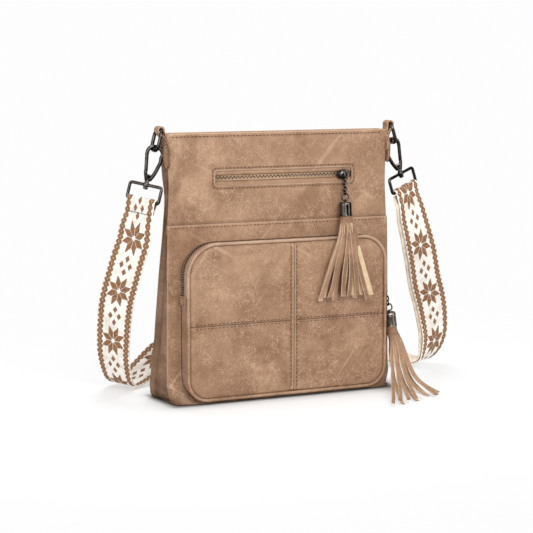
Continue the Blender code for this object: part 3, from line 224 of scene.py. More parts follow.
# %% [markdown]
# ## Lines, tubes and turned shapes
#
# Piping, rings, hooks and chain links are all one idea: a round profile carried along a line.
# Caps and studs are a profile turned about an axis. Both are worked out for all rows at once.


# %% Lines
def arc(centre, radius, start, stop, steps):
    """Points on an arc in a plane, with angles in degrees."""
    turns = np.radians(np.linspace(start, stop, steps))
    return spread(centre[0] + radius * np.cos(turns), centre[1] + radius * np.sin(turns))


def rounded(low, high, radii, steps=8):
    """A rectangle with rounded corners: low right, high right, high left, low left. radii is one
    radius, or one for each corner."""
    corners = ((high[0], low[1], -90), (high[0], high[1], 0), (low[0], high[1], 90),
               (low[0], low[1], 180))
    runs = []
    for (x, z, start), r in zip(corners, np.broadcast_to(radii, 4)):
        centre = (x - r if x == high[0] else x + r, z + r if z == low[1] else z - r)
        runs.append(arc(centre, r, start, start + 90, steps))
    return np.concatenate(runs)


def run_length(line):
    """The distance along a line of points to each of them, from 0."""
    return np.concatenate([[0.0], np.cumsum(np.linalg.norm(np.diff(line, axis=0), axis=1))])


def at_runs(at, run, line):
    """A line's points at the distances in at, each column of numbers by straight interpolation."""
    return spread(*(np.interp(at, run, column) for column in line.T))


def resampled(line, step, closed=False):
    """The same line with its points evenly spaced, about step apart."""
    line = np.asarray(line, float)
    line = np.concatenate([line, line[:1]]) if closed else line
    run = run_length(line)
    made = at_runs(np.linspace(0, run[-1], max(2, int(round(run[-1] / step)) + 1)), run, line)
    return made[:-1] if closed else made


def lifted(line, y=0.0):
    """A line of (x, z) points at distance y."""
    line = np.asarray(line, float)
    return spread(line[:, 0], y, line[:, 1])


def along_line(line, closed=False):
    """The unit direction of a line at each point, from its two neighbours."""
    return unit(np.roll(line, -1, 0) - np.roll(line, 1, 0) if closed else np.gradient(line, axis=0))


def frames_on(line, outward, spacing, closed=False):
    """Places spaced along a line: X runs along it, Z points the way outward gives, one 4x4 each."""
    line = np.asarray(line, float)
    outward = np.broadcast_to(np.asarray(outward, float), line.shape)
    if closed:
        line, outward = np.concatenate([line, line[:1]]), np.concatenate([outward, outward[:1]])
    run = run_length(line)
    count = int(run[-1] / spacing)
    at = (np.arange(count) + 0.5) * run[-1] / count
    x = unit(at_runs(at + 0.3 * MM, run, line) - at_runs(at - 0.3 * MM, run, line))
    y = unit(np.cross(at_runs(at, run, outward), x))
    frames = np.tile(np.eye(4), (count, 1, 1))
    frames[:, :3] = np.stack([x, y, np.cross(x, y), at_runs(at, run, line)], 2)
    return frames


# %% Tubes, turned shapes and blocks
def tube(line, radius, sides=12, closed=False, up=(0, 1, 0), flatten=1.0):
    """A profile carried along a line: every ring is radius times (cos t across, sin t up), where
    across is the cross product of the line's direction and up."""
    line = np.asarray(line, float)
    way = along_line(line, closed)
    across = unit(np.cross(way, up))
    t = np.linspace(0, 2 * math.pi, sides, endpoint=False)[:, None]
    ring = across[:, None] * np.cos(t) + flatten * np.cross(across, way)[:, None] * np.sin(t)
    run = run_length(np.concatenate([line, line[:1]]) if closed else line)
    points = line[:, None] + np.broadcast_to(radius, len(line))[:, None, None] * ring
    return grid(points, spread(np.linspace(0, 1, sides + 1), run[:, None]), closed, True,
                capped=not closed)


def turned(profile, sides=28):
    """A profile of (radius, z) points turned about Z, closed by a flat disc at both ends."""
    profile = np.asarray(profile, float)
    t = np.linspace(0, 2 * math.pi, sides, endpoint=False)
    return sleeve(spread(profile[:, :1] * np.cos(t), profile[:, :1] * np.sin(t), profile[:, 1:]))


def block(low, high, rounding, steps=3):
    """A box with rounded edges: rounded rectangles that draw in at both ends by a quarter arc."""
    low, high = np.array(low, float), np.array(high, float)
    turns = np.linspace(0, math.pi / 2, steps + 1)
    insets, depths = rounding * (1 - np.sin(turns)), rounding * (1 - np.cos(turns))
    rings = []
    for inset, y in [*zip(insets, low[1] + depths), *zip(insets[::-1], high[1] - depths[::-1])]:
        corner = max(rounding * 1.2 - inset, 0.1 * rounding)
        outline = rounded((low[0] + inset, low[2] + inset), (high[0] - inset, high[2] - inset),
                          corner, steps + 1)
        rings.append(lifted(outline, y))
    return sleeve(np.array(rings))


# %% [markdown]
# ## Finishes
#
# A finish is a graph of shader nodes. To read it as a formula, one small class wraps a socket:
# adding or multiplying two of them adds a Math node, and one method makes any other node.
# Colours are written as they look on screen, 0 to 255.


# %% Shader maths
def paint(red, green, blue):
    """A colour on screen as the linear numbers that a shader uses."""
    screen = np.array([red, green, blue]) / 255
    linear = np.where(screen <= 0.04045, screen / 12.92, ((screen + 0.055) / 1.055) ** 2.4)
    return (*linear.tolist(), 1.0)


class Flow:
    """One output of a finish's node graph. Arithmetic on it adds Math nodes."""

    def __init__(self, tree, socket=None):
        self.tree = tree
        self.socket = socket

    def node(self, kind, sockets, out=0, **settings):
        """Any node: its settings first, then the values or links of its sockets."""
        made = self.tree.nodes.new("ShaderNode" + kind)
        for name, value in settings.items():
            setattr(made, name, value)
        for key, value in sockets.items():
            if isinstance(value, Flow):
                self.tree.links.new(value.socket, made.inputs[key])
            else:
                made.inputs[key].default_value = value
        return Flow(self.tree, made.outputs[out])

    def maths(self, operation, *others):
        """A Math node whose first value is this one."""
        return self.node("Math", dict(enumerate((self, *others))), operation=operation)

    def __add__(self, other):
        return self.maths("ADD", other)

    def __sub__(self, other):
        return self.maths("SUBTRACT", other)

    def __rsub__(self, other):
        return self.node("Math", {0: other, 1: self}, operation="SUBTRACT")

    def __mul__(self, other):
        return self.maths("MULTIPLY", other)

    def __truediv__(self, other):
        return self.maths("DIVIDE", other)

    __radd__, __rmul__ = __add__, __mul__

    def abs(self):
        return self.maths("ABSOLUTE")

    def least(self, other):
        return self.maths("MINIMUM", other)

    def most(self, other):
        return self.maths("MAXIMUM", other)

    def wave(self, length):
        """A sine that repeats every length."""
        return (self * (math.tau / length)).maths("SINE")

    def fold(self, period):
        """Distance from the nearest multiple of period, with its sign: repeats a pattern."""
        return self.maths("WRAP", period / 2, -period / 2)

    def rise(self, low, high):
        """0 below low, 1 above high, smooth between; it falls instead where low is above high."""
        ends = {"Value": self, "From Min": min(low, high), "From Max": max(low, high)}
        ends.update({"To Min": float(low > high), "To Max": float(low < high)})
        return self.node("MapRange", ends, interpolation_type="SMOOTHSTEP")

    def noise(self, scale, detail=3.0, rough=0.5, warp=0.0, out=0):
        """Cloudy noise from about 0.25 to 0.75: scale is its patches per metre."""
        values = {"Vector": self, "Scale": scale, "Detail": detail, "Roughness": rough,
                  "Distortion": warp}
        return self.node("TexNoise", values, out)

    def mix(self, a, b):
        """A colour: a where this value is 0 and b where it is 1."""
        a, b = (colour if isinstance(colour, Flow) else paint(*colour) for colour in (a, b))
        return self.node("Mix", {0: self, 6: a, 7: b}, out=2, data_type="RGBA")

    def split(self):
        """The three numbers of a vector."""
        outputs = self.node("SeparateXYZ", {"Vector": self}).socket.node.outputs
        return [Flow(self.tree, socket) for socket in outputs]


def new_finish(name, slot=None, space="Object", **constants):
    """A material, its coordinates, and its shader with constants set on the sockets themselves."""
    made = bpy.data.materials.new(name)
    made.use_nodes = True
    shader = made.node_tree.nodes["Principled BSDF"]
    for key, value in constants.items():
        shader.inputs[key.replace("_", " ")].default_value = value
    SLOT_OF[name] = slot
    return made, Flow(made.node_tree).node("TexCoord", {}, out=space), shader


def feed(spot, shader, height, strength, depth, **flows):
    """Links flows into the shader, and a height into its Normal through a Bump node."""
    flows["Normal"] = spot.node("Bump", {"Strength": strength, "Distance": depth, "Height": height})
    for key, value in flows.items():
        spot.tree.links.new(value.socket, shader.inputs[key.replace("_", " ")])


# %% [markdown]
# ## Leather
#
# The leather is a coated hide with a worn look. Broad clouds and darker patches lie under a net
# of fine pale creases and a few long scratches, and the grain is a small bump. Where the leather
# is sewn down or folded, the "edge" attribute of a piece is 1, and the finish is painted darker
# there: painted shade, as in a seam's valley. A negative edge paints a fold or a ridge pale:
# partly rubbed wear, partly a painted highlight.

# %% Leather
TAN, TAN_DARK, TAN_LIGHT = (147, 113, 87), (126, 91, 65), (166, 131, 103)
# The third colour is the pale of folds and ridges: partly rubbed wear, partly painted highlight.
CREASE, SEAM_SHADE, WORN_AND_HIGHLIT = (214, 182, 154), (78, 50, 30), (188, 157, 130)
# Patches where the front is painted darker: below the rim, low and up the right, on the pocket,
# along the left edge and across the pocket's top. Middle and half size in x and z, in metres,
# and amount.
FRONT_DARKENING = ((0.014, 0.266, 0.085, 0.020, 0.50), (0.070, 0.024, 0.066, 0.034, 0.75),
          (0.116, 0.166, 0.020, 0.050, 0.70), (-0.046, 0.106, 0.026, 0.026, 0.45),
          (-0.131, 0.140, 0.014, 0.200, 0.70), (-0.010, 0.163, 0.110, 0.009, 0.30))


def crease_net(spot):
    """Creases are borders of small cells, bent by noise, and where a finer noise crosses 0.5."""
    warp = spot.node("VectorMath", {0: spot.noise(190, 2, out="Color"), 1: (0.5,) * 3},
                     operation="SUBTRACT")
    bent = spot.node("VectorMath", {0: warp, 1: (0.011,) * 3, 2: spot}, operation="MULTIPLY_ADD")
    cells = spot.node("TexVoronoi", {"Vector": bent, "Scale": 190.0}, "Distance",
                      feature="DISTANCE_TO_EDGE")
    fine = (spot.noise(260, 2, 0.6, 2.0) - 0.5).abs().rise(0.04, 0.0)
    amount = spot.noise(32, 2, 0.6).rise(0.36, 0.62) * 0.65 + 0.35
    return cells.rise(0.05, 0.0).most(fine * 0.6) * amount * spot.noise(120, 1).rise(0.32, 0.50)


def leather(name, shade=TAN, dark=TAN_DARK, light=TAN_LIGHT, pale=0.62, rough=0.56, darkenings=(),
            slot="leather"):
    """pale is how strongly the creases and scratches show, rough the duller patches' roughness."""
    made, spot, shader = new_finish(name, slot, Specular_IOR_Level=0.35)
    clouds = spot.noise(13, 3, 0.55, 0.6)
    patches = spot.noise(22, 2, 0.5, 0.5)
    mottle = spot.noise(110, 4, 0.65, 0.5)
    pores = spot.noise(900, 3, 0.75)
    colour = clouds.rise(0.40, 0.62).mix(shade, light)
    colour = (patches.rise(0.55, 0.36) * 0.8).mix(colour, dark)
    across, _, up = spot.split()
    # Each patch paints the leather darker in a soft blot.
    for x, z, half_x, half_z, amount in darkenings:
        aside, above = (across - x) / half_x, (up - z) / half_z
        darkening_here = (aside * aside + above * above + clouds * 2.4 - 1.2).rise(1.5, 0.0)
        colour = (darkening_here * amount).mix(colour, dark)
    colour = (mottle.rise(0.58, 0.34) * 0.34).mix(colour, dark)
    colour = (mottle.rise(0.52, 0.72) * 0.3).mix(colour, light)
    creases = crease_net(spot)
    colour = (creases * pale).mix(colour, CREASE)
    # A scratch is noise drawn out to 110 mm along one slanting direction and 7 to 9 mm across it.
    for turn, finest in ((-0.85, 7 * MM), (0.5, 9 * MM)):
        comb = {"Vector": spot, "Rotation": (0.0, turn, 0.0), "Scale": (0.11, 0.05, finest)}
        combed = spot.node("Mapping", comb, vector_type="TEXTURE").noise(1.0, 2, 0.55, 0.3)
        scratch = combed.rise(0.62, 0.74) * spot.noise(20, 1).rise(0.42, 0.60)
        colour = (scratch * (pale * 0.45)).mix(colour, CREASE)
    colour = (pores.rise(0.52, 0.70) * 0.4).mix(colour, dark)
    colour = (pores.rise(0.48, 0.30) * 0.3).mix(colour, CREASE)
    # Painted shade darkens seams and valleys where edge is positive; where it is negative, folds are
    # painted pale, partly rubbed wear and partly painted highlight.
    edge = spot.node("Attribute", {}, "Fac", attribute_name="edge")
    colour = (edge.rise(0.0, 1.0) * 0.85).mix(colour, SEAM_SHADE)
    colour = (edge.rise(0.0, -1.0) * 0.7).mix(colour, WORN_AND_HIGHLIT)
    height = pores * 0.35 + mottle * 0.6 + creases * 0.3 + patches * 0.2
    feed(spot, shader, height, 0.45, 0.5 * MM, Base_Color=colour,
         Roughness=patches * -0.22 + (rough + 0.11))
    return made


tan_leather = leather("tan leather", darkenings=FRONT_DARKENING)
# The sides and base take a darker copy of the leather: painted shade for faces turned from the light.
shaded_side_leather = leather("side leather in painted shade", (122, 90, 66), (100, 70, 48), (143, 109, 83), 0.4)
tassel_leather = leather("tassel leather", (146, 111, 85), (116, 83, 59), (162, 127, 100), 0.3, 0.6)
seam_leather = leather("rubbed seam leather", (160, 130, 106), (132, 102, 79), (176, 147, 122),
                       0.3, 0.6)
rosy_leather = leather(
    "rosy piping leather", (165, 133, 109), (143, 110, 86), (183, 152, 129), 0.25, 0.5,
    slot="rosy_leather")
print(len(SLOT_OF), "leathers made")


# %% [markdown]
# ## Thread, cut edges, cloth and zip tape
#
# The thread is a darker brown than the leather, with a fine twist. The cut edges of the tassel
# strips and the back of the leather are pale and fibrous. The tapes and the lining are a plain
# weave, which follows the piece's own u and v.


# %% Thread, cut edges, cloth and tape
def thread(name, colour, dark, slot=None):
    """A smooth yarn or paint: small soft spots of two shades and a very fine bump."""
    made, spot, shader = new_finish(name, slot, Roughness=0.75)
    shade = spot.noise(900, 2).rise(0.35, 0.65)
    feed(spot, shader, spot.noise(2600, 1), 0.5, 0.2 * MM, Base_Color=shade.mix(dark, colour))
    return made


def fibres(name, colour, dark, scale=900):
    """Pale cut leather: fine fibres over soft blotches."""
    made, spot, shader = new_finish(name, Roughness=0.9)
    shade = (spot.noise(scale, 4, 0.7) * 0.6 + spot.noise(90, 2) * 0.4).rise(0.3, 0.7)
    feed(spot, shader, spot.noise(scale * 1.6, 3), 0.6, 0.3 * MM,
         Base_Color=shade.mix(dark, colour))
    return made


def cloth(name, slot, colour, dark, pitch):
    """Plain weave: the product of two crossing waves, one along u and one along v."""
    made, spot, shader = new_finish(name, slot, "UV", Roughness=0.85)
    u, v, _ = spot.split()
    weave = u.wave(pitch) * v.wave(pitch)
    feed(spot, shader, weave, 0.35, 0.2 * MM, Base_Color=weave.rise(-1.0, 1.0).mix(dark, colour))
    return made


brown_thread = thread("brown thread", (98, 65, 42), (66, 41, 25))
edge_paint = thread("edge paint", (104, 72, 48), (72, 47, 29), "leather")
pale_edge = fibres("cut leather edge", (216, 190, 163), (186, 156, 128))
pale_back = fibres("leather back", (218, 194, 160), (188, 160, 126), 500)
board_finish = fibres("fibre board", (150, 128, 100), (120, 98, 74))
lining_cloth = cloth("lining cloth", "lining_cloth", (120, 96, 74), (92, 72, 54), 1.2 * MM)
tape_cloth = cloth("zip tape", "zip_tape", (216, 184, 152), (176, 142, 112), 1.0 * MM)
print(len(SLOT_OF), "finishes made so far")


# %% [markdown]
# ## Gunmetal
#
# Hooks, rings, caps and teeth are plated dark nickel: a dark mirror with faint cloudy wear. Its
# look comes mostly from what it reflects, so the roughness stays low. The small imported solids
# that stay visible get their finish here too.


# %% Gunmetal
def gunmetal(name, colour=(66, 61, 57), rough=0.12, bump=0.01):
    """Worn patches are a little brighter and rougher than the plating round them."""
    made, spot, shader = new_finish(name, "dark_nickel", Metallic=1.0)
    wear = spot.noise(210, 3, 0.6)
    tone = wear.rise(0.35, 0.7).mix(colour, [c + 26 for c in colour])
    feed(spot, shader, spot.noise(900, 2), bump, 0.2 * MM, Base_Color=tone,
         Roughness=wear * 0.12 + (rough - 0.05))
    return made


dark_nickel = gunmetal("dark nickel")
# The hook's web and the side tassel's cap take lighter, rougher copies of the plating: painted light
# where they would reflect only dark surroundings.
lit_web_metal = gunmetal("hook web", (150, 140, 129), 0.42, 0.03)
lit_cap_metal = gunmetal("side cap painted lighter", (132, 124, 114), 0.30, 0.03)
teeth_metal = gunmetal("zip teeth", (84, 75, 67), 0.3, 0.05)
PACKED_METAL = ("left_gate_pin", "right_gate_pin", "top_zip_slider", "top_zip_pull", "strap_slide")
for node in (*PACKED_METAL, "base_board"):
    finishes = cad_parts[node].data.materials
    finishes.clear()
    finishes.append(board_finish if node == "base_board" else dark_nickel)
print("finishes given to", len(PACKED_METAL) + 1, "packed solids")

# %% [markdown]
# ## Floor and light
#
# The photograph is a white studio shot with a faint soft shadow under the bag. The floor glows a
# little, so that it stays white round the shadow, and right round the bag's footprint its own
# colour is painted grey: a painted contact shadow. The surroundings are white, with a few dark
# panels that only reflections see, because polished metal looks flat without them.

# %% Floor and light
FLOOR_HALF, FLOOR_Z = 8.0, -0.6 * MM
FOOTPRINT = (0.128, 0.034)  # half the bag's width and depth where it stands
WORLD_LIGHT, WHITE = 0.52, 0.985


def uneven_bands(x, y, low, high):
    """Bright upright bands round the bag, as a sine of five times the compass angle."""
    return (y.maths("ARCTAN2", x) * 5.0 - 0.8).maths("SINE").rise(low, high)


def link_glow(start, glow, amount):
    """An even grey light as a colour: amount goes to red, green and blue alike."""
    start.tree.links.new(start.node("CombineXYZ", {0: amount, 1: amount, 2: amount}).socket, glow)


def studio_floor():
    """Near the bag the floor is matt, and close to its footprint its colour is painted grey as a
    painted contact shadow; further out it fades into even white light. Reflections see it dark
    with the same bands as the surroundings."""
    made, spot, shader = new_finish("white floor", Roughness=0.9, Specular_IOR_Level=0.1)
    x, y, _ = spot.split()
    aside, ahead = ((way.abs() - half).most(0) for way, half in zip((x, y), FOOTPRINT))
    away = (aside * aside + ahead * ahead).maths("SQRT")
    share = away.rise(0.0, 0.035) * 0.42 + away.rise(0.02, 0.16) * 0.38 + away.rise(0.1, 0.5) * 0.2
    # near paints the floor's colour grey close to the footprint: a painted contact shadow.
    near = away.rise(0.000, 0.012) * 0.7 + away.rise(0.0, 0.035) * 0.3
    link_glow(spot, shader.inputs["Base Color"], (near * 0.62 + 0.28).least(0.90))
    glow = spot.node("Emission", {"Color": (1, 1, 1, 1), "Strength": WHITE})
    both = spot.node("MixShader", {0: share, 1: Flow(spot.tree, shader.outputs[0]), 2: glow})
    dim = spot.node("Emission", {"Strength": 1.0})
    stripe = uneven_bands(x, y, -0.1, 0.5) * away.rise(0.25, 0.5) * 1.1 + 0.06
    link_glow(spot, dim.socket.node.inputs["Color"], stripe)
    seen = spot.node("MixShader", {0: spot.node("LightPath", {}, "Is Glossy Ray"), 1: both, 2: dim})
    spot.tree.links.new(seen.socket, spot.tree.nodes["Material Output"].inputs["Surface"])
    side = np.array([-FLOOR_HALF, FLOOR_HALF])
    mesh = bpy.data.meshes.new("floor")
    mesh.from_pydata(spread(side[:, None], side, FLOOR_Z).reshape(-1, 3).tolist(), [],
                     [(0, 2, 3, 1)])
    mesh.materials.append(made)
    floor = bpy.data.objects.new("floor", mesh)
    bpy.context.scene.collection.objects.link(floor)
    floor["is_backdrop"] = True


def surroundings():
    """White to the eye; polished metal sees bright upright bands and a bright ceiling instead."""
    world = bpy.data.worlds.new("studio")
    world.use_nodes = True
    bpy.context.scene.world = world
    start = Flow(world.node_tree)
    x, y, z = start.node("TexCoord", {}, "Generated").split()
    ahead = (x * -0.42 - y * 0.9).rise(-0.1, 0.5)
    bands = uneven_bands(x, y, 0.0, 0.6) * ahead * z.rise(-0.25, 0.1) * z.rise(0.95, 0.6)
    panels = bands * 3.6 + z.rise(0.45, 0.7) * 0.4 + 0.02
    mirrored, seen = (start.node("LightPath", {}, f"Is {ray} Ray") for ray in ("Glossy", "Camera"))
    light = mirrored * (panels - WORLD_LIGHT) + seen * (WHITE - WORLD_LIGHT) + WORLD_LIGHT
    back = world.node_tree.nodes["Background"]
    back.inputs["Strength"].default_value = 1.0
    link_glow(start, back.inputs["Color"], light)


def soft_light(name, place, size, watts):
    """A square lamp that looks at the middle of the bag."""
    light = bpy.data.lights.new(name, "AREA")
    light.energy = watts
    light.size = size
    made = bpy.data.objects.new(name, light)
    made.location = place
    made.rotation_euler = (Vector(place) - Vector((0, 0, 0.12))).to_track_quat("Z", "Y").to_euler()
    bpy.context.scene.collection.objects.link(made)


studio_floor()
surroundings()
soft_light("key light", (-0.05, -2.0, 1.35), 1.4, 37)
soft_light("left light", (-1.7, -0.9, 0.6), 1.0, 8)
soft_light("top light", (0.1, 0.35, 1.9), 1.0, 18)
bpy.context.scene.view_settings.view_transform = "Standard"
print("floor and lights made")

# %% [markdown]
# ## The bag's own sizes
#
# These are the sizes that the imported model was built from. The body's sides, front and back are
# formulas of the height, so that every piece on the body finds its place from the same ones.

# %% Sizes and the body's surfaces
HEIGHT, TOP_WIDTH, BASE_WIDTH, BASE_DEPTH, TOP_DEPTH = 0.2835, 0.260, 0.267, 0.074, 0.025
LEATHER, GAP = 1.6 * MM, 0.3 * MM
FRONT_Y = -0.018
LOWER_FRONT_Y = FRONT_Y - LEATHER - GAP
LAP_TOP, LAP = 0.188, 0.010
SIDE_MIDDLE = FRONT_Y + TOP_DEPTH / 2 - 1.3 * MM
WINDOW = {"left": -0.077, "right": 0.087, "low": 0.227, "high": 0.244}
FRONT, BACK, UP = (0, -1, 0), (0, 1, 0), (0, 0, 1)


def around_window(reach, radius):
    """The front zip's window as a rounded rectangle, drawn reach outside its edge."""
    return rounded((WINDOW["left"] - reach, WINDOW["low"] - reach),
                   (WINDOW["right"] + reach, WINDOW["high"] + reach), radius)


def near_to(distance, reach):
    """1 at a seam and falling away from it as a bell curve."""
    return np.exp(-((distance / reach) ** 2))


def half_width(z):
    """Half the bag's width: it narrows upwards, tucks in at the floor and has a slight waist."""
    up = z / HEIGHT
    tuck = 6 * MM * np.maximum(0.0, 1 - z / 0.022) ** 2
    return ((BASE_WIDTH + (TOP_WIDTH - BASE_WIDTH) * up) / 2 - tuck
            - 2 * MM * near_to(up - 0.8, 0.12))


def lower_front(z):
    """The front is upright and flares forward near the floor by the square of the height left."""
    return LOWER_FRONT_Y - (BASE_DEPTH / 2 + LOWER_FRONT_Y) * np.maximum(0.0, 1 - z / 0.038) ** 2


def back_outer(across, z):
    """The back leans forward, tucks in above the base, and bulges by the square root of a sine."""
    heights = (0.0, 0.04, 0.10, 0.28, 0.46, 0.62, 0.75, 0.84, 0.89, 1.0)
    tucks = (0.0, 0.0085, 0.0108, 0.0126, 0.0161, 0.0212, 0.0200, 0.0105, 0.0085, 0.0010)
    up = z / HEIGHT
    blur = np.linspace(-0.03, 0.03, 7)
    tuck = sum(np.interp(up + d * np.clip(up * 8, 0, 1), heights, tucks) for d in blur) / len(blur)
    straight = BASE_DEPTH / 2 * (1 - up) + (FRONT_Y + TOP_DEPTH) * up
    return straight - tuck + 8 * MM * (1 - across**2) * np.sin(math.pi * np.clip(up, 0, 1)) ** 0.5


def gusset_fold(z):
    """How deep a side is pinched: most at 70 % of the height."""
    return 2 * MM + 6 * MM * near_to(z / HEIGHT - 0.70, 0.125)


def gusset_outer(v, z):
    """A side is pinched in along its middle; v runs from 0 at the front to 1 at the back."""
    return half_width(z) - 1 * MM - gusset_fold(z) * np.sin(math.pi * v)


print("half width at the rim", round(float(half_width(HEIGHT)), 4))

# %% [markdown]
# ## The strap's line
#
# The strap is one woven band, 38 mm wide. It is sewn round the left ring, drops to the floor,
# passes behind the bag, and climbs to the right ring. There it turns back on itself to a slide.
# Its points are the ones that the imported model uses: x, y and z of the middle of the band, then
# the azimuth and tilt of the direction across it.

# %% The strap's route
STRAP_WIDTH, STRAP_THICK = 38 * MM, 1.9 * MM
SEWN = (13 * MM, 26 * MM)  # how far below the ring the two layers lie together
LEFT_ROUTE = (
    (-0.1626, -0.0030, 0.1732, -46, 0), (-0.1667, 0.0050, 0.1515, -42, 0),
    (-0.1688, 0.0160, 0.1295, -39, 0), (-0.1699, 0.0290, 0.1065, -38, 0),
    (-0.1680, 0.0420, 0.0830, -39, 0), (-0.1650, 0.0540, 0.0595, -42, 0),
    (-0.1617, 0.0630, 0.0405, -47, 0), (-0.1558, 0.0720, 0.0235, -54, 0),
    (-0.1490, 0.0800, 0.0105, -61, 0), (-0.1385, 0.0890, 0.0036, -67, -2),
    (-0.1260, 0.0960, 0.0062, -69, -9), (-0.1080, 0.1030, 0.0160, -72, -24),
    (-0.0850, 0.1110, 0.0300, -76, -36), (-0.0550, 0.1180, 0.0440, -80, -43),
    (-0.0200, 0.1240, 0.0560, -85, -46),
)
RIGHT_ROUTE = (
    (0.0200, 0.1270, 0.0620, -92, -47), (0.0600, 0.1260, 0.0590, -100, -46),
    (0.0900, 0.1223, 0.0528, -107, -42), (0.1052, 0.1188, 0.0463, -111, -39),
    (0.1160, 0.1160, 0.0420, -111, -39), (0.1268, 0.1132, 0.0377, -111, -39),
    (0.1430, 0.1076, 0.0306, -116, -34), (0.1680, 0.0960, 0.0200, -124, -23),
    (0.1950, 0.0800, 0.0100, -132, -11), (0.2150, 0.0670, 0.0044, -139, -2),
    (0.2270, 0.0590, 0.0080, -146, 0), (0.2330, 0.0540, 0.0190, -157, 0),
    (0.2350, 0.0490, 0.0360, -167, 0), (0.2305, 0.0435, 0.0585, -175, 0),
    (0.2213, 0.0348, 0.0810, -179, 0), (0.2077, 0.0238, 0.1065, -179, 0),
    (0.1951, 0.0119, 0.1370, -176, 0), (0.1838, 0.0028, 0.1610, -171, 0),
    (0.1733, -0.0035, 0.1845, -166, 0),
)
SLIDE_AT = 4  # the slide's row in RIGHT_ROUTE
print(len(LEFT_ROUTE) + len(RIGHT_ROUTE), "points on the route")

# %% [markdown]
# On each side an oval ring hangs from the tab, a spring hook from the ring, and a rectangular
# ring from the hook. Their sizes fix where the strap's ends are.

# %% Rings and the strap's ends
OVAL_WIRE, OVAL_LENGTH, OVAL_WIDTH, OVAL_CORNER = 3.5 * MM, 25 * MM, 21 * MM, 6.2 * MM
HOOK_WIRE, HOOK_REACH, HOOK_RADIUS, HOOK_PLAY = 3.6 * MM, 40.7 * MM, 6.9 * MM, 0.5 * MM
RECT_WIRE, RECT_WIDTH, RECT_DROP, RECT_CORNER = 3.2 * MM, 42.8 * MM, 17 * MM, 2.8 * MM
BAR_REACH = RECT_WIRE / 2 + GAP + STRAP_THICK / 2  # from a bar's middle to the band's
SIDES = {
    "left": {"way": -1, "lean": 14.6, "bar_turn": -61.0, "loop_out": 4.9 * MM, "loop_up": 3.5 * MM},
    "right": {"way": 1, "lean": 17.3, "bar_turn": 20.6, "loop_out": 7.2 * MM, "loop_up": 5.0 * MM},
}


def side_frame(side):
    """Where one side's ring and strap bar sit: local X points to the bag and Z up the hook."""
    facts = SIDES[side]
    way, lean = facts["way"], math.radians(facts["lean"])
    loop = Vector((way * (TOP_WIDTH / 2 + facts["loop_out"]), SIDE_MIDDLE,
                   HEIGHT + facts["loop_up"]))
    inward = Vector((-way * math.cos(lean), 0, -math.sin(lean)))
    up = Vector((-way * math.sin(lean), 0, math.cos(lean)))
    turn = Matrix((inward, up.cross(inward), up)).transposed().to_4x4()
    drop = OVAL_LENGTH - OVAL_WIRE - (OVAL_WIRE + HOOK_WIRE) / 2 - HOOK_PLAY + HOOK_REACH
    return Matrix.Translation(loop) @ turn, Matrix.Translation(loop - up * drop) @ turn


def strap_end(side):
    """The lower bar's middle and the band's directions there: across, down and out of its face."""
    frame_here = side_frame(side)[1]
    turn = frame_here.to_3x3() @ Matrix.Rotation(math.radians(SIDES[side]["bar_turn"]), 3, "Z")
    across, up = turn @ Vector((1, 0, 0)), turn @ Vector(UP)
    outward = across.cross(up)
    outward *= -1 if outward.y > 0 else 1
    return tuple(np.array(v) for v in (frame_here @ Vector((0, 0, -RECT_DROP)), across, -up,
                                       outward))


print("left bar at", np.round(strap_end("left")[0], 3))

# %% [markdown]
# A smooth curve runs through the points of the route. The same kind of curve later carries the
# hooks' wire, the tabs and every strip of the tassels.


# %% Smooth paths
def smooth_path(points, step):
    """A Catmull-Rom curve through rows of numbers: each span is a cubic whose end slopes come
    from its neighbours, spaced by the square root of their distance."""
    points = np.asarray(points, float)
    spans = np.linalg.norm(np.diff(points[:, :3], axis=0), axis=1) ** 0.5
    ends = np.vstack([2 * points[0] - points[1], points, 2 * points[-1] - points[-2]])
    spans = np.concatenate([spans[:1], spans, spans[-1:]])
    made = []
    for i in range(len(points) - 1):
        p0, p1, p2, p3 = ends[i : i + 4]
        a, b, c = spans[i : i + 3]
        m1 = (p1 - p0) / a - (p2 - p0) / (a + b) + (p2 - p1) / b
        m2 = (p2 - p1) / b - (p3 - p1) / (b + c) + (p3 - p2) / c
        count = max(1, int(round(np.linalg.norm((p2 - p1)[:3]) / step)))
        t = np.linspace(0, 1, count, endpoint=False)[:, None]
        start, stop = 2 * t**3 - 3 * t**2 + 1, 3 * t**2 - 2 * t**3
        made.append(start * p1 + (t**3 - 2 * t**2 + t) * b * m1 + stop * p2
                    + (t**3 - t**2) * b * m2)
    return np.vstack(made + [points[-1:]])


def over_bar(bar, down, out, reach):
    """The middles of a band that goes half round a bar, and the half turn's angles as a column."""
    t = np.radians(np.linspace(0, 180, 9))[:, None]
    return bar - out * reach * np.cos(t) - down * reach * np.sin(t), t


def with_turn(points, azimuth, tilt):
    """Rows of the route: points that share one azimuth and tilt."""
    points = np.atleast_2d(points)
    return np.hstack([points, np.tile([azimuth, tilt], (len(points), 1))])


def turn_of(across):
    """The azimuth and tilt of a direction, in degrees."""
    return math.degrees(math.atan2(across[1], across[0])), math.degrees(math.asin(across[2]))


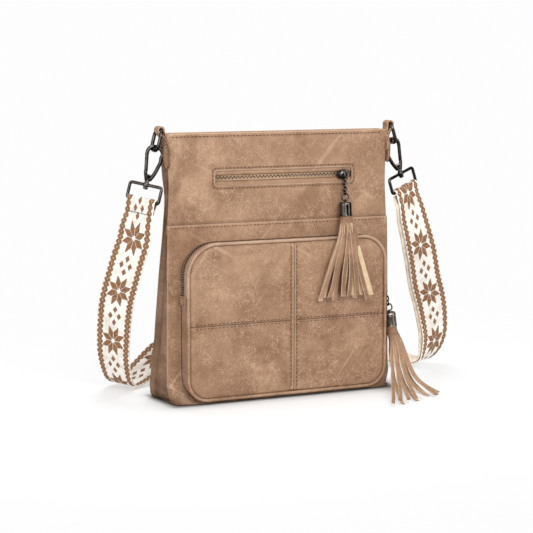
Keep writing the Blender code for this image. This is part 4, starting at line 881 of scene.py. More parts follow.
def main_band(step):
    """The path of the main band, from its sewn end at the left ring to its bend over the right
    one, and the point where it reaches the right ring."""
    near = STRAP_THICK / 2 + GAP
    bar, across, down, out = strap_end("left")
    azimuth, tilt = turn_of(across)
    start = [bar + down * d - out * near for d in SEWN[::-1]]
    rows = [with_turn(part, azimuth, tilt)
            for part in (start, over_bar(bar, down, out, BAR_REACH)[0])]
    rows += [with_turn(bar + down * SEWN[0] + out * near, azimuth, tilt)]
    rows += [with_turn(bar + down * SEWN[1] + out * near, -52, tilt / 2), LEFT_ROUTE, RIGHT_ROUTE]
    bar, across, down, out = strap_end("right")
    azimuth, tilt = turn_of(-across if across[0] > 0 else across)
    azimuth -= 360 * (azimuth > 0)
    last = bar + down * SEWN[0] + out * near * 2
    rows += [with_turn(last, azimuth + 1, tilt)]
    rows += [with_turn(over_bar(bar, down, -out, BAR_REACH)[0], azimuth, tilt)]
    return smooth_path(np.vstack(rows), step), last


def directions(path):
    """Unit vectors along a band, across it and out of its face, at each row of its path."""
    azimuth, tilt = np.radians(path[:, 3]), np.radians(path[:, 4])
    across = spread(np.cos(azimuth) * np.cos(tilt), np.sin(azimuth) * np.cos(tilt), np.sin(tilt))
    along = along_line(path[:, :3])
    across = unit(across - along * (across * along).sum(1, keepdims=True))
    return along, across, np.cross(along, across)


strap_path, last_point = main_band(3 * MM)
strap_line = strap_path[:, :3]
STRAP_LENGTH = float(run_length(strap_line)[-1])
print("strap", round(STRAP_LENGTH, 3), "m in", len(strap_path), "rows")

# %% [markdown]
# ## The strap's weave
#
# The pattern is a traditional one of eight-pointed stars with lozenges between them and a twisted
# chain along both edges. Every mark is a small formula of u across and v along the band. A star
# petal is a rhombus: folding u and v about the star's axes and diagonals leaves one eighth of
# the star, and there the rhombus is where two slanting coordinates both lie between 0 and 1.

# %% The strap's finish
STAR_PERIOD = 65 * MM
STAR_SIDE, STAR_DIAGONAL, STAR_STRETCH, STAR_REACH = 7.2 * MM, 5.3 * MM, 1.55, 11.6 * MM
CHAIN_AT, CHAIN_PERIOD, CHAIN_SWAY, CHAIN_HALF = 14.9 * MM, STAR_PERIOD / 5, 1.8 * MM, 1.1 * MM
LOZENGES = ((0, 8.3), (0, -8.3), (4.7, 0), (-4.7, 0))  # their middles in mm, halfway between stars
CREAM, CREAM_SHADE = (248, 244, 237), (226, 217, 204)
BROWN_YARN, BROWN_YARN_SHADED = (166, 123, 89), (88, 56, 34)


def lozenge(u, v, half_u, half_v):
    """Above 0 inside a lozenge round the origin, in metres."""
    return (1 - u.abs() / half_u - v.abs() / half_v) * half_u


def star_mask(u, v):
    """Above 0 inside a petal: far and near are the folded distances along and off an axis."""
    x, y = u.abs(), (v / STAR_STRETCH).abs()
    far, near = x.most(y), x.least(y)
    gap = 0.2 * MM
    petal = (STAR_DIAGONAL - near).least(STAR_SIDE - (far - near))
    petal = petal.least(near - gap).least(far - near - gap)
    return petal.least((far + near * 1.3 - 2.6 * MM) * 0.7).least(STAR_REACH - far)


def yarn_mask(u, v):
    """Above 0 where the pattern's brown yarn shows: stars, lozenges and the two edge chains,
    each of two strands that sway against each other."""
    here, half_way = v.fold(STAR_PERIOD), (v + STAR_PERIOD / 2).fold(STAR_PERIOD)
    yarn = star_mask(u, here)
    for across, along in LOZENGES:
        yarn = yarn.most(lozenge(u - across * MM, half_way - along * MM, 2.5 * MM, 4.5 * MM))
    off, sway = u.abs() - CHAIN_AT, v.wave(CHAIN_PERIOD) * CHAIN_SWAY
    for strand in (off - sway, off + sway):
        yarn = yarn.most(CHAIN_HALF - strand.abs() * 0.68)
    return yarn


def webbing(name, patterned, light=CREAM, shade=CREAM_SHADE):
    """Fine crossing waves make the ground. The brown yarn floats above it in long stitches, which
    lie along the band in some petals of a star and across it in the others."""
    made, flat, shader = new_finish(name, "webbing", "UV", Specular_IOR_Level=0.2)
    wobble = flat.noise(420, 2) - 0.5
    u, v = (way + wobble * (0.8 * MM) for way in flat.split()[:2])
    weave = v.wave(1.25 * MM) * u.wave(0.9 * MM) * 0.35
    ground = weave + wobble * 1.6 + flat.noise(75, 2).rise(0.3, 0.6) * 0.9
    colour, height = ground.rise(-0.2, 1.0).mix(shade, light), weave
    if patterned:
        mask = yarn_mask(u, v).rise(-0.2 * MM, 0.2 * MM)
        lengthwise = (u.abs() * STAR_STRETCH - v.fold(STAR_PERIOD).abs()).rise(-0.5 * MM, 0.5 * MM)
        floss_v, floss_u = v.wave(1.7 * MM), u.wave(1.5 * MM)
        floss = (lengthwise * (floss_v - floss_u) + floss_u) * 0.45 + wobble * 2.0 + 0.5
        # The brown is painted darker in the hollows between the floats, a painted shade, over some
        # random tone.
        colour = mask.mix(colour, floss.rise(-0.15, 0.95).mix(BROWN_YARN_SHADED, BROWN_YARN))
        height = weave * (1 - mask) + mask * (floss * 0.45 + 0.9)
    feed(flat, shader, height, 0.55, 0.4 * MM, Base_Color=colour, Roughness=wobble * 0.2 + 0.84)
    return made


star_webbing = webbing("star webbing", True)
plain_webbing = webbing("plain webbing", False, (240, 226, 208), (214, 192, 168))
print("stars every", STAR_PERIOD, "m along the band")

# %% [markdown]
# ## The strap's bands
#
# The main band leaves the left ring and goes back into the object at the right one. The
# photograph shows where the stars lie, so the pattern's own v is stretched a little between them.


# %% The main band
def band(centre, across, face, thick, widths, columns=11, marks=None):
    """A flat band with round edges. Each ring runs over the face from edge to edge, round the
    edge in a half circle, and back under. u is the distance across and v the distance along,
    or what marks gives: distances along the band and the pattern's own v there."""
    half = np.broadcast_to(widths, len(centre))[:, None] / 2 - thick / 2
    side, turns = np.linspace(-1, 1, columns), np.radians([60, 20, -20, -60])
    curl = half + thick / 2 * np.cos(turns)
    u = np.concatenate([half * side, curl, -half * side, -curl], 1)
    lift = np.concatenate([np.ones(columns), np.sin(turns)]) * thick / 2
    lift = np.concatenate([lift, -lift])[:, None]
    run = run_length(centre)
    v = run if marks is None else np.interp(run, *marks)
    return sleeve(centre[:, None] + u[..., None] * across[:, None] + lift * face[:, None],
                  spread(u, v[:, None]))


# The stars' places along the band, in metres, and their numbers; the first and last are its ends.
STARS = ((0.0, -1.18), (0.0765, 0), (0.1406, 1), (0.2075, 2), (0.272, 3), (0.715, 10), (0.783, 11),
         (0.853, 12), (0.922, 13), (STRAP_LENGTH, 13.2))
STAR_PLACES, STAR_NUMBERS = np.array(STARS).T
strap_along, strap_across, strap_face = directions(strap_path)
ripple = 0.25 * MM * np.sin(run_length(strap_line) * 55)[:, None]
strap_middles = strap_line + ripple * strap_face
marks = (STAR_PLACES, STAR_NUMBERS * STAR_PERIOD)
strap = piece("strap_band", band(strap_middles, strap_across, strap_face, STRAP_THICK, STRAP_WIDTH,
                                 marks=marks),
              star_webbing, ["strap"])

# %% [markdown]
# Beyond the right ring the band is doubled back: it lies inside the main one, goes round the
# slide's middle bar and ends in a short tail.

# %% The doubled-back band
SLIDE_WIRE, SLIDE_PLAY = 2.4 * MM, 0.7 * MM


def returning_band():
    """The doubled layer keeps a small distance inside the main band, apart, and lies a little to
    one side of it, aside; both are given at a few places and interpolated between them."""
    run = run_length(strap_line)
    slide = np.array(RIGHT_ROUTE[SLIDE_AT][:3])
    first, last = (int(np.argmin(np.linalg.norm(strap_line - spot, axis=1)))
                   for spot in (slide, last_point))
    bar, _, down, out = strap_end("right")
    along, inwards = strap_along[first], strap_face * (-1 if strap_face[last] @ out > 0 else 1)
    apart = np.interp(run[first : last + 1] - run[first], (0.0, 0.012, 0.05, 0.14, 0.24, 0.40),
                      (0.0080, 0.0072, 0.0036, 0.0028, 0.0026, 0.0026))
    aside = np.interp(run, run[[first, first + 30, last - 6, last]],
                      (0, 3.2 * MM, 3.4 * MM, 2.6 * MM))
    aside *= np.sign(strap_across @ np.array([-0.906, 0.423, 0.0]))
    middle = (strap_line[first]
              + inwards[first] * (STRAP_THICK * 1.5 + SLIDE_PLAY + GAP + SLIDE_WIRE / 2))
    bend, t = over_bar(middle, along, inwards[first], SLIDE_WIRE / 2 + GAP + STRAP_THICK / 2)
    tail = np.array([bend[0] + along * d for d in (8 * MM, 5 * MM, 2.5 * MM)])
    inner = slice(first + 1, last + 1)
    doubled = (strap_line + strap_across * aside[:, None])[inner] + inwards[inner] * apart[1:, None]
    end = (bar - out * (BAR_REACH + 0.2 * MM) + down * 3 * MM)[None]
    count = len(tail) + len(bend)
    sides = np.concatenate([np.tile(strap_across[first], (count, 1)), strap_across[inner],
                            strap_across[[last]]])
    bend_face = inwards[first] * np.cos(t) + along * np.sin(t)
    faces = [np.tile(inwards[first], (len(tail), 1)), bend_face, -inwards[inner], -inwards[[last]]]
    middles = np.concatenate([tail, bend, doubled, end])
    return band(middles, sides, np.concatenate(faces), STRAP_THICK, STRAP_WIDTH)


strap_return = piece("strap_return_band", returning_band(), plain_webbing, ["strap_return"])

# %% [markdown]
# ## Stitches
#
# A stitch is a short thread that rises out of the leather and goes back in: a thin tube along a
# low arch. It is stamped along every seam line, slightly sunk, at the pitch of the real seams.

# %% Stitches
STITCH, PITCH, THREAD = 3.0 * MM, 4.3 * MM, 0.42 * MM


def one_stitch(length=STITCH):
    """Its middle line is a half ellipse, half a thread radius high, along X."""
    t = np.linspace(-1, 1, 6)
    line = spread(t * length / 2, 0, THREAD * (1.25 * np.sqrt(np.maximum(0, 1 - t**2)) - 0.75))
    return tube(line, THREAD * np.array([0.5, 0.95, 1, 1, 0.95, 0.5]), 6, up=UP)


def sewn(line, outward, pitch=PITCH, closed=False, length=STITCH):
    """Stitches along a line of points on a surface whose outward direction is given."""
    return stamp(one_stitch(length), frames_on(line, outward, pitch, closed))


def stitches(name, rows):
    return piece(name, join(rows), brown_thread)


print("one stitch", len(one_stitch()["quads"]), "faces")

# %% [markdown]
# ## The body shell
#
# Each panel is one thin surface with its own turned edges. At its sides every panel rolls back
# in a quarter circle into the corner seam. Low waves of about half a millimetre keep the leather
# from looking like a board.

# %% How leather lies at its edges
ROLL = 1.8 * MM
RIM_FOLD = 1.4 * MM
HEM, LAP_HEM = 3.6 * MM, 2.9 * MM  # how far the rim's and the lap's stitches lie below their folds
WINDOW_X, WINDOW_Z = (WINDOW["left"] + WINDOW["right"]) / 2, (WINDOW["low"] + WINDOW["high"]) / 2
WINDOW_HALF_X, WINDOW_HALF_Z = WINDOW["right"] - WINDOW_X, WINDOW["high"] - WINDOW_Z
WINDOW_CORNER = 3.5 * MM


def quarter_fall(distance, radius):
    """How far a surface falls back towards an edge that it rolls round in a quarter circle."""
    share = np.clip(1 - distance / radius, 0, 1)
    return radius * (1 - np.sqrt(1 - np.minimum(share, 0.9999) ** 2))


def ramp(distance, reach):
    """0 up to 0, then straight up to 1 at reach."""
    return np.clip(distance / reach, 0, 1)


def edge_columns(count, half=0.132):
    """Positions from -1 to 1 across a panel, closer together where it rolls round its edges."""
    curl = 1 - ROLL / half * (1 - np.sin(np.linspace(0, math.pi / 2, 7)))
    return np.concatenate([-curl[::-1], np.linspace(-curl[0], curl[0], count)[1:-1], curl])


def leather_waves(x, z, amount=0.45 * MM):
    """Soft unevenness: three crossing sine waves, each 40 to 110 mm long."""
    return amount * (
        np.sin(61 * x + 23 * z + 1.1) * np.sin(43 * z - 17 * x + 0.4)
        + 0.6 * np.sin(97 * z + 31 * x + 2.0) * np.sin(79 * x + 0.7)
    )


def panel(x, y, z, seam, rubbed_and_lit):
    """A sheet of leather: seam paints it darker, painted shade as in a valley, and the second amount
    paints it paler, partly rubbed wear and partly a painted highlight on a fold.
    """
    shape = grid(spread(x, y, z))
    shape["edge"] = np.broadcast_to(seam - rubbed_and_lit,
                                    np.broadcast_shapes(x.shape, y.shape, z.shape)).ravel()
    return shape


print("leather rolls back over", ROLL, "m")

# %% [markdown]
# The upper front panel runs up the front, over a small fold at the rim and a little way down
# inside. The front zip's window is cut in it, so its rows and columns crowd together there. The
# lower panel starts under the base, flares at its foot, and folds back over the upper one.


# %% Panels of the front
def upper_rows():
    """Heights of the rows, and how far back each lies: up the front, round the rim, down inside."""
    low, high = LAP_TOP - LAP, HEIGHT - RIM_FOLD
    bottom, top = WINDOW["low"], WINDOW["high"]
    front = [np.linspace(low, bottom - 1 * MM, 14), np.arange(bottom, bottom + 4.2 * MM, 0.6 * MM),
             np.arange(top - 3.6 * MM, top + 0.1 * MM, 0.6 * MM),
             np.linspace(top + 2 * MM, high, 14)]
    turn = np.linspace(0, math.pi, 11)[1:]
    z = np.concatenate(front + [high + RIM_FOLD * np.sin(turn), high - np.array([1.5, 4, 9]) * MM])
    back = np.concatenate([0 * row for row in front]
                          + [RIM_FOLD * (1 - np.cos(turn)), np.full(3, 2 * RIM_FOLD)])
    return z[:, None], back[:, None]


def upper_columns():
    """Positions from -1 to 1 across the panel, with fine steps at both ends of the window."""
    left, right = WINDOW["left"], WINDOW["right"]
    half = float(half_width(WINDOW_Z))
    x = [edge_columns(30) * half, np.arange(left - 1.2 * MM, left + 4 * MM, 0.6 * MM),
         np.arange(right - 3.6 * MM, right + 1.4 * MM, 0.6 * MM)]
    x = np.unique(np.round(np.concatenate(x), 6))
    return x[np.concatenate([[True], np.diff(x) > 0.15 * MM])] / half


def cut_window(shape):
    """Leaves out the faces whose middles lie in the window with its rounded corners."""
    middle = shape["points"][shape["quads"]].mean(1)
    beyond = np.abs(middle[:, [0, 2]] - (WINDOW_X, WINDOW_Z)) - (WINDOW_HALF_X, WINDOW_HALF_Z)
    in_corner = np.linalg.norm(np.maximum(beyond + WINDOW_CORNER, 0), axis=1) < WINDOW_CORNER
    keep = ~((beyond < 0).all(1) & in_corner & (middle[:, 1] < FRONT_Y + 1 * MM))
    uv = shape["uv"].reshape(-1, 4, 2)[keep].reshape(-1, 2)
    return dict(shape, quads=shape["quads"][keep], part=shape["part"][keep], uv=uv)


def upper_panel():
    (z, back), across = upper_rows(), upper_columns()
    x = across * half_width(np.minimum(z, HEIGHT - 1 * MM))
    to_edge = (1 - np.abs(across)) * half_width(z)
    calm = ramp(to_edge, 0.02) * (1 - 0.6 * ramp(z - HEIGHT + RIM_FOLD + 0.02, 0.02))
    hem = 0.3 * MM * near_to(z - (HEIGHT - HEM), 0.9 * MM) * (back == 0)
    y = (FRONT_Y + back + leather_waves(x, z) * calm
         + quarter_fall(to_edge, ROLL) * (1 - back / RIM_FOLD) + hem)
    # seam paints shade below the rim's stitches, under the lap's fold and round the window; the pale
    # amount paints the rolled side edges, the inside of the rim and its top, partly rubbed wear and
    # partly painted highlight.
    seam = 0.35 * near_to(z - (HEIGHT - HEM), 1.2 * MM) + 0.5 * near_to(z - LAP_TOP, 3.5 * MM)
    window = np.maximum(np.abs(x - WINDOW_X) - WINDOW_HALF_X, np.abs(z - WINDOW_Z) - WINDOW_HALF_Z)
    seam = np.maximum(seam, 0.4 * near_to(np.maximum(window - 1.5 * MM, 0), 2.0 * MM)) * (back == 0)
    rubbed_and_lit = (0.6 * near_to(to_edge - 0.5 * MM, 0.5 * MM) + 0.5 * (back > 0)
              + 0.25 * near_to(z - HEIGHT, 2.0 * MM))
    return cut_window(panel(x, y, z, seam, np.clip(rubbed_and_lit, 0, 1)))


def lower_panel():
    """The corner's radius grows with the flare, so the foot is rounder than the rest."""
    curl, fold = 2.4 * MM, 0.75 * MM
    t, turn = np.linspace(-math.pi / 2, 0, 7), np.linspace(0, math.pi, 8)[1:]
    wall = np.concatenate([np.linspace(curl, 0.04, 18)[1:],
                           np.linspace(0.04, LAP_TOP - fold, 40)[1:]])
    top = [LAP_TOP - fold + fold * np.sin(turn), [LAP_TOP - 3 * MM, LAP_TOP - 9 * MM]]
    z = np.concatenate([curl + curl * np.sin(t) + 0.15 * MM, wall, *top])[:, None]
    back = [curl * (1 - np.cos(t)), 0 * wall, fold * (1 - np.cos(turn)), [2 * fold, 2 * fold]]
    half = half_width(np.maximum(z, 1.5 * MM))
    corner = ROLL + LOWER_FRONT_Y - lower_front(z)
    ends = half - np.maximum(corner, ROLL) * (1 - np.sin(np.linspace(0, math.pi / 2, 9)))
    x = np.concatenate([-ends[:, ::-1], np.linspace(-1, 1, 50)[1:-1] * ends[:, :1], ends], 1)
    to_edge = half - np.abs(x)
    wave = (1.2 * leather_waves(x + 0.2, z)
            * ramp(to_edge, 0.02) * ramp(LAP_TOP - z, 0.02) * ramp(z, 0.03))
    tuck = 0.7 * MM * np.sin(z * 300) * near_to(z - 0.014, 0.011) * near_to(to_edge, 0.02)
    hem = 0.3 * MM * near_to(z - (LAP_TOP - LAP_HEM), 0.9 * MM)
    y = (lower_front(z) + np.concatenate(back)[:, None] + wave + quarter_fall(to_edge, corner)
         + hem + tuck)
    # Painted shade darkens the lap's stitch line and the foot near the floor; the rolled side edges
    # and the lap's fold are painted pale, partly rubbed wear and partly painted highlight.
    seam = 0.45 * near_to(z - (LAP_TOP - LAP_HEM), 1.2 * MM) + 0.45 * near_to(z, 8 * MM)
    rubbed_and_lit = 0.6 * near_to(to_edge - 0.4 * MM, 0.5 * MM) + 0.8 * near_to(z - LAP_TOP, 0.9 * MM)
    return panel(x, y, z, seam, np.clip(rubbed_and_lit, 0, 1))


PANEL_LEATHER = [tan_leather, seam_leather]
piece("upper_front", upper_panel(), PANEL_LEATHER, ["front_upper_panel"], facing=FRONT,
      thick=1.0 * MM)
piece("lower_front", lower_panel(), PANEL_LEATHER, ["front_lower_panel"], facing=FRONT,
      thick=0.7 * MM)

# %% [markdown]
# ## Sides, back and base
#
# The sides are folded inwards along their middle, most of all below the rim. Their leather is a
# darker copy of the front's: painted shade, as they face away from the light. The back swells a
# little. Both dip into their seams.


# %% Sides, back and base
def rim_rows(count):
    """Heights of a wall's rows, and how far each has gone over the rim: 0 outside, 1 inside."""
    turn, high = np.linspace(0, math.pi, 9)[1:], HEIGHT - RIM_FOLD
    z = np.concatenate([np.linspace(0.4 * MM, high, count), high + RIM_FOLD * np.sin(turn),
                        [HEIGHT - 9 * MM]])
    over = np.concatenate([np.zeros(count), (1 - np.cos(turn)) / 2, [1.0]])
    return z[:, None], over[:, None]


def front_line(z):
    """The front's y at a height: the lower panel stands one leather ahead of the upper one."""
    return np.where(z < LAP_TOP - LAP, LOWER_FRONT_Y, FRONT_Y)


def side_panel(way):
    """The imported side's pinch, deeper along its fold, with a tuck at its foot and a puffed back."""
    z, over = rim_rows(72)
    v = np.concatenate([np.linspace(0, 0.08, 7), np.linspace(0.08, 0.92, 30)[1:-1],
                        np.linspace(0.92, 1, 7)])
    below_rim = np.minimum(z, HEIGHT - 1 * MM)
    start, stop = front_line(z) + ROLL * 0.6, back_outer(1.0, below_rim) - ROLL * 0.6
    depth = stop - start
    y = start + depth * v
    to_edge = np.minimum(v, 1 - v) * depth
    fold = near_to(v - 0.5, 0.11) * (0.5 + 1.2 * near_to(z / HEIGHT - 0.66, 0.3)) * MM
    tuck = 1.4 * MM * near_to(z - 0.016 - 0.25 * (v * depth), 4 * MM) * np.clip(1 - z / 0.04, 0, 1)
    dip = 1.5 * MM * near_to(to_edge, 1.1 * MM)
    wave = leather_waves(y * 1.3, z + 0.1 * way, 0.4 * MM) * ramp(to_edge, 0.01)
    x = gusset_outer(v, below_rim) - fold - tuck - dip + wave - quarter_fall(z, 2.4 * MM)
    puffed = 3.0 * MM * near_to(z - 0.225, 0.06) + 2.0 * MM + 6.0 * MM * near_to(z - 0.01, 0.06)
    x = (x - over * 2 * RIM_FOLD
         + puffed * np.sin(math.pi * v**1.7).clip(0) ** 0.6 * (1 - 0.5 * over))
    # Painted shade darkens the corner seams, the middle fold, the foot near the floor and the tuck;
    # the top of the rim is painted pale, partly rubbed wear and partly painted highlight.
    seam = (0.9 * near_to(to_edge, 2.0 * MM) + 0.45 * near_to(v - 0.5, 0.10)
            + 0.5 * near_to(z, 9 * MM))
    return panel(way * x, y, z, np.clip(seam + 0.5 * tuck / MM, 0, 1),
                 0.7 * near_to(z - HEIGHT, 1.8 * MM))


def back_wall():
    """Each row reaches from side to side, and its middle bulges out."""
    z, over = rim_rows(64)
    across = edge_columns(40)
    half = half_width(np.minimum(z, HEIGHT - 1 * MM))
    x, to_edge = across * half, (1 - np.abs(across)) * half
    wave = leather_waves(x + 0.4, z, 0.6 * MM) * ramp(to_edge, 0.02)
    hem = 0.35 * MM * near_to(z - (HEIGHT - HEM), 1.1 * MM) * (over == 0)
    y = back_outer(across, np.minimum(z, HEIGHT - 0.2 * MM)) - quarter_fall(to_edge, ROLL)
    y = y - quarter_fall(z, 2.4 * MM) + wave - over * 2 * RIM_FOLD - hem
    # Painted shade darkens the stitch line and the foot near the floor; the side edges and the inside
    # of the rim are painted pale, partly rubbed wear and partly painted highlight.
    seam = 0.4 * near_to(z - (HEIGHT - HEM), 1.2 * MM) * (over == 0) + 0.35 * near_to(z, 8 * MM)
    rubbed_and_lit = 0.6 * near_to(to_edge - 0.5 * MM, 0.5 * MM) + 0.6 * (over > 0)
    return panel(x, y, z, seam, np.clip(rubbed_and_lit, 0, 1))


def base_plate():
    """Rings of the base's rounded outline draw in under its edge and close at the middle."""
    half = np.array([BASE_WIDTH / 2 - 4.2 * MM, BASE_DEPTH / 2 - 2.2 * MM])
    rings = []
    for share, z in ((1.0, 1.9), (1.0, 1.2), (0.995, 0.5), (0.985, 0.15), (0.97, 0.1), (0.5, 0.5),
                     (0.05, 0.6)):
        outline = rounded(-half * share, half * share, 11 * MM * share, 7)
        rings.append(spread(*outline.T, z * MM))
    return sleeve(np.array(rings))


for side, facts in SIDES.items():
    way = facts["way"]
    piece(side + "_side_panel", side_panel(way), [shaded_side_leather, seam_leather], [side + "_gusset"],
          facing=(way, 0, 0), thick=1.0 * MM)
piece("back_wall", back_wall(), PANEL_LEATHER, ["back_panel"], facing=BACK, thick=1.0 * MM)
piece("base_plate", base_plate(), shaded_side_leather, ["base_panel"])

# %% [markdown]
# ## Seams of the body
#
# The rim is stitched just below its fold on the front and the back. The lap seam is stitched
# through the folded edge of the lower panel, and one more seam runs round the window.


# %% Seams of the body
def across_front(z, y, inset=4 * MM):
    """A straight line of points across the bag at one height, inset from both sides."""
    reach = float(half_width(z)) - inset
    return spread(np.arange(-reach, reach, 4 * MM), y, z)


def on_waves(line, share):
    """Lets a line on the front follow the leather's waves."""
    line[:, 1] += leather_waves(line[:, 0], line[:, 2]) * share
    return line


back_line = across_front(HEIGHT - HEM, 0.0)
back_line[:, 1] = back_outer(back_line[:, 0] / float(half_width(HEIGHT)), HEIGHT - HEM) - 0.1 * MM
around = resampled(around_window(2.4 * MM, 5.5 * MM), 1.5 * MM, True)
stitches("body_stitches", [
    sewn(across_front(HEIGHT - HEM, FRONT_Y + 0.1 * MM), FRONT),
    sewn(across_front(LAP_TOP - LAP_HEM, LOWER_FRONT_Y + 0.1 * MM, 2 * MM), FRONT),
    sewn(back_line, BACK),
    sewn(on_waves(lifted(around, FRONT_Y), 0.9), FRONT, closed=True),
])

# %% [markdown]
# ## The front zip
#
# The window's leather edge is a thin raised ring. Behind it lie two padded lips, whose
# cross-section is half of a flattened circle, and between them the teeth in front of the tape.

# %% Teeth, lips and tapes
LIP_BACK = FRONT_Y + LEATHER + GAP
TAPE_Y = LIP_BACK + 2.0 * MM


def cushion(x0, x1, z0, z1, y, swell):
    """A padded strip from z0 to z1: its section is a raised half ellipse, drawn in at both ends."""
    x, t = np.linspace(x0, x1, 60)[:, None], np.linspace(0, math.pi, 11)
    ends = np.sqrt(np.clip(1 - np.clip(1 - np.minimum(x - x0, x1 - x) / (2.5 * MM), 0, 1) ** 2,
                           0.02, 1))
    waver = 1 + 0.10 * np.sin(x * 180) * np.sin(x * 61)
    y = y - swell * np.sin(t) ** 0.7 * ends * waver
    z = (z0 + z1) / 2 - (z1 - z0) / 2 * np.cos(t)
    # Its edges, where it turns into the slot, are painted dark as painted shade, and its crest pale,
    # partly rubbed wear and partly painted highlight.
    return panel(x, y, z, 0.9 * (1 - np.sin(t) ** 0.8), 0.5 * near_to(t - 1.55, 0.5))


def teeth(name, line, outward, pitch, reach, half=0.62 * MM, height=0.75 * MM):
    """Two rows of teeth that interlock on a line. A tooth is a small block whose head swells where
    it meets the other row. It is drawn along Z, and a turn about X lays it across the zip; every
    other tooth points the other way, half a pitch further on."""
    tooth = block((-half, -height, -0.2 * MM), (half, height, reach), 0.28 * MM, 1)
    tooth["points"][:, 0] *= 1 + 0.25 * near_to(tooth["points"][:, 2] - reach, 0.9 * MM)
    frames = frames_on(line, outward, pitch)
    flip = frames.copy()
    flip[:, :3, :2] *= -1
    flip[:, :3, 3] += frames[:, :3, 0] * (pitch / 2)
    swap = np.array([[1, 0, 0, 0], [0, 0, 1, 0], [0, -1, 0, 0], [0, 0, 0, 1]], float)
    return piece(name, stamp(tooth, np.concatenate([frames, flip]) @ swap), teeth_metal, angle=35)


print("tape behind the front at", round(TAPE_Y, 4))

# %% The front zip
slit, behind = 2.9 * MM, LIP_BACK + 1.2 * MM  # half the gap between the lips, and where they lie
x0, x1 = WINDOW["left"] - 4 * MM, WINDOW["right"] + 4 * MM
lips = [cushion(x0, x1, low, high, behind, 1.75 * MM) for low, high in (
    (WINDOW["low"] - 3 * MM, WINDOW_Z - slit), (WINDOW_Z + slit, WINDOW["high"] + 3 * MM))]
piece("zip_lips", join(lips), tan_leather, ["front_zip_welt"], facing=FRONT, thick=0.5 * MM)

lip_line = lifted(resampled(around_window(0, WINDOW_CORNER), 1.0 * MM, True), FRONT_Y + 0.25 * MM)
piece("window_lip", tube(on_waves(lip_line, 1.0), 0.9 * MM, 10, True, flatten=0.8), rosy_leather)

x = np.linspace(x0 + 1 * MM, x1 - 1 * MM, 2)[:, None]
z = WINDOW_Z + np.linspace(-8, 8, 3) * MM
piece("front_tape", grid(spread(x, TAPE_Y, z), spread(x, z)), tape_cloth, ["front_zip_tape"],
      facing=FRONT, thick=0.5 * MM)
ends = spread([WINDOW["left"] + 1 * MM, WINDOW["right"] - 1 * MM], TAPE_Y - 0.9 * MM,
              WINDOW_Z + 0.5 * MM)
teeth("front_teeth", resampled(ends, 2 * MM), FRONT, 4.2 * MM, 1.45 * MM, height=0.7 * MM)

# %% [markdown]
# ## The patch pocket
#
# The pocket's face is four pieces of leather sewn over thin padding. Its surface is a formula of
# the distance to the nearest seam: it rises out of each seam's valley and levels off within a
# few millimetres. Each row of points ends on the rounded outline, so the outline is exact.

# %% The pocket's face
POCKET_LOW, POCKET_HIGH, FACE_Y, PIPING = 4.5 * MM, LAP_TOP - 0.019, -0.040, 2 * MM
HALF_POCKET, FACE_INSET = (TOP_WIDTH - 0.026) / 2, 1.2 * MM
CORNERS = {"left": 34 * MM, "right": 28 * MM, "low": 22 * MM}
SEAM_X, SEAM_Z = 5 * MM, (POCKET_HIGH - 3 * MM) / 2
ZIP_START, ZIP_STOP = POCKET_HIGH - 0.055, POCKET_HIGH - 0.0555


def outline_reach(z, side):
    """How far the face reaches to one side at height z: a corner's circle draws it in."""
    top, bottom = CORNERS[side] - FACE_INSET, CORNERS["low"] - FACE_INSET
    reach = HALF_POCKET - FACE_INSET
    for corner, depth in ((top, z - (POCKET_HIGH - FACE_INSET - top)),
                          (bottom, POCKET_LOW + FACE_INSET + bottom - z)):
        square = np.clip(depth, 0, corner) ** 2
        reach = reach - (corner - np.sqrt(np.maximum(corner**2 - square, 0)))
    return reach


def edge_distance(x, z):
    """Distance to the face's rounded outline from a point inside it."""
    low, high = POCKET_LOW + FACE_INSET, POCKET_HIGH - FACE_INSET
    r = (np.where(z < SEAM_Z, CORNERS["low"], np.where(x < 0, CORNERS["left"], CORNERS["right"]))
         - FACE_INSET)
    dx = np.abs(x) - (HALF_POCKET - FACE_INSET - r)
    dz = np.where(z < SEAM_Z, (low + r) - z, z - (high - r))
    outside = np.sqrt(np.maximum(dx, 0) ** 2 + np.maximum(dz, 0) ** 2)
    return r - outside - np.minimum(np.maximum(dx, dz), 0)


def pocket_surface(x, z):
    """The face's y and its edge attribute."""
    border = edge_distance(x, z)
    level, upright = np.abs(z - SEAM_Z), np.abs(x - SEAM_X)
    inner = np.maximum(border, 0)
    rise = 1.9 * MM * (1 - np.exp(-inner / (2.6 * MM)))
    valley = 0.45 * MM * near_to(level, 1.2 * MM) + 0.5 * MM * near_to(upright, 5.5 * MM)
    swell = 0.9 * MM * ramp(np.minimum(level, upright), 0.05) ** 0.5
    calm = np.clip(np.minimum(border, np.minimum(level, upright)) / 0.02, 0.1, 1)
    y = (FACE_Y + 1.35 * MM - rise + valley - swell
         + 1.5 * leather_waves(x * 1.2 + 0.3, z * 1.2) * calm)
    # Painted shade darkens the seams' valleys and a broad band round them; the crests beside the
    # level seam and where the face rises from the piping are painted pale, partly rubbed wear and
    # partly painted highlight.
    seam = (0.9 * near_to(inner, 1.3 * MM) + 0.75 * near_to(level, 0.6 * MM)
            + 0.18 * near_to(level, 6 * MM))
    seam = seam + 0.16 * near_to(upright, 8 * MM) + 0.15 * near_to(inner, 6 * MM)
    rubbed_and_lit = 0.5 * near_to(level - 2.0 * MM, 0.8 * MM) + 0.25 * near_to(border - 4.6 * MM, 1.6 * MM)
    return y, np.clip(seam, 0, 1) - np.clip(rubbed_and_lit, 0, 1)


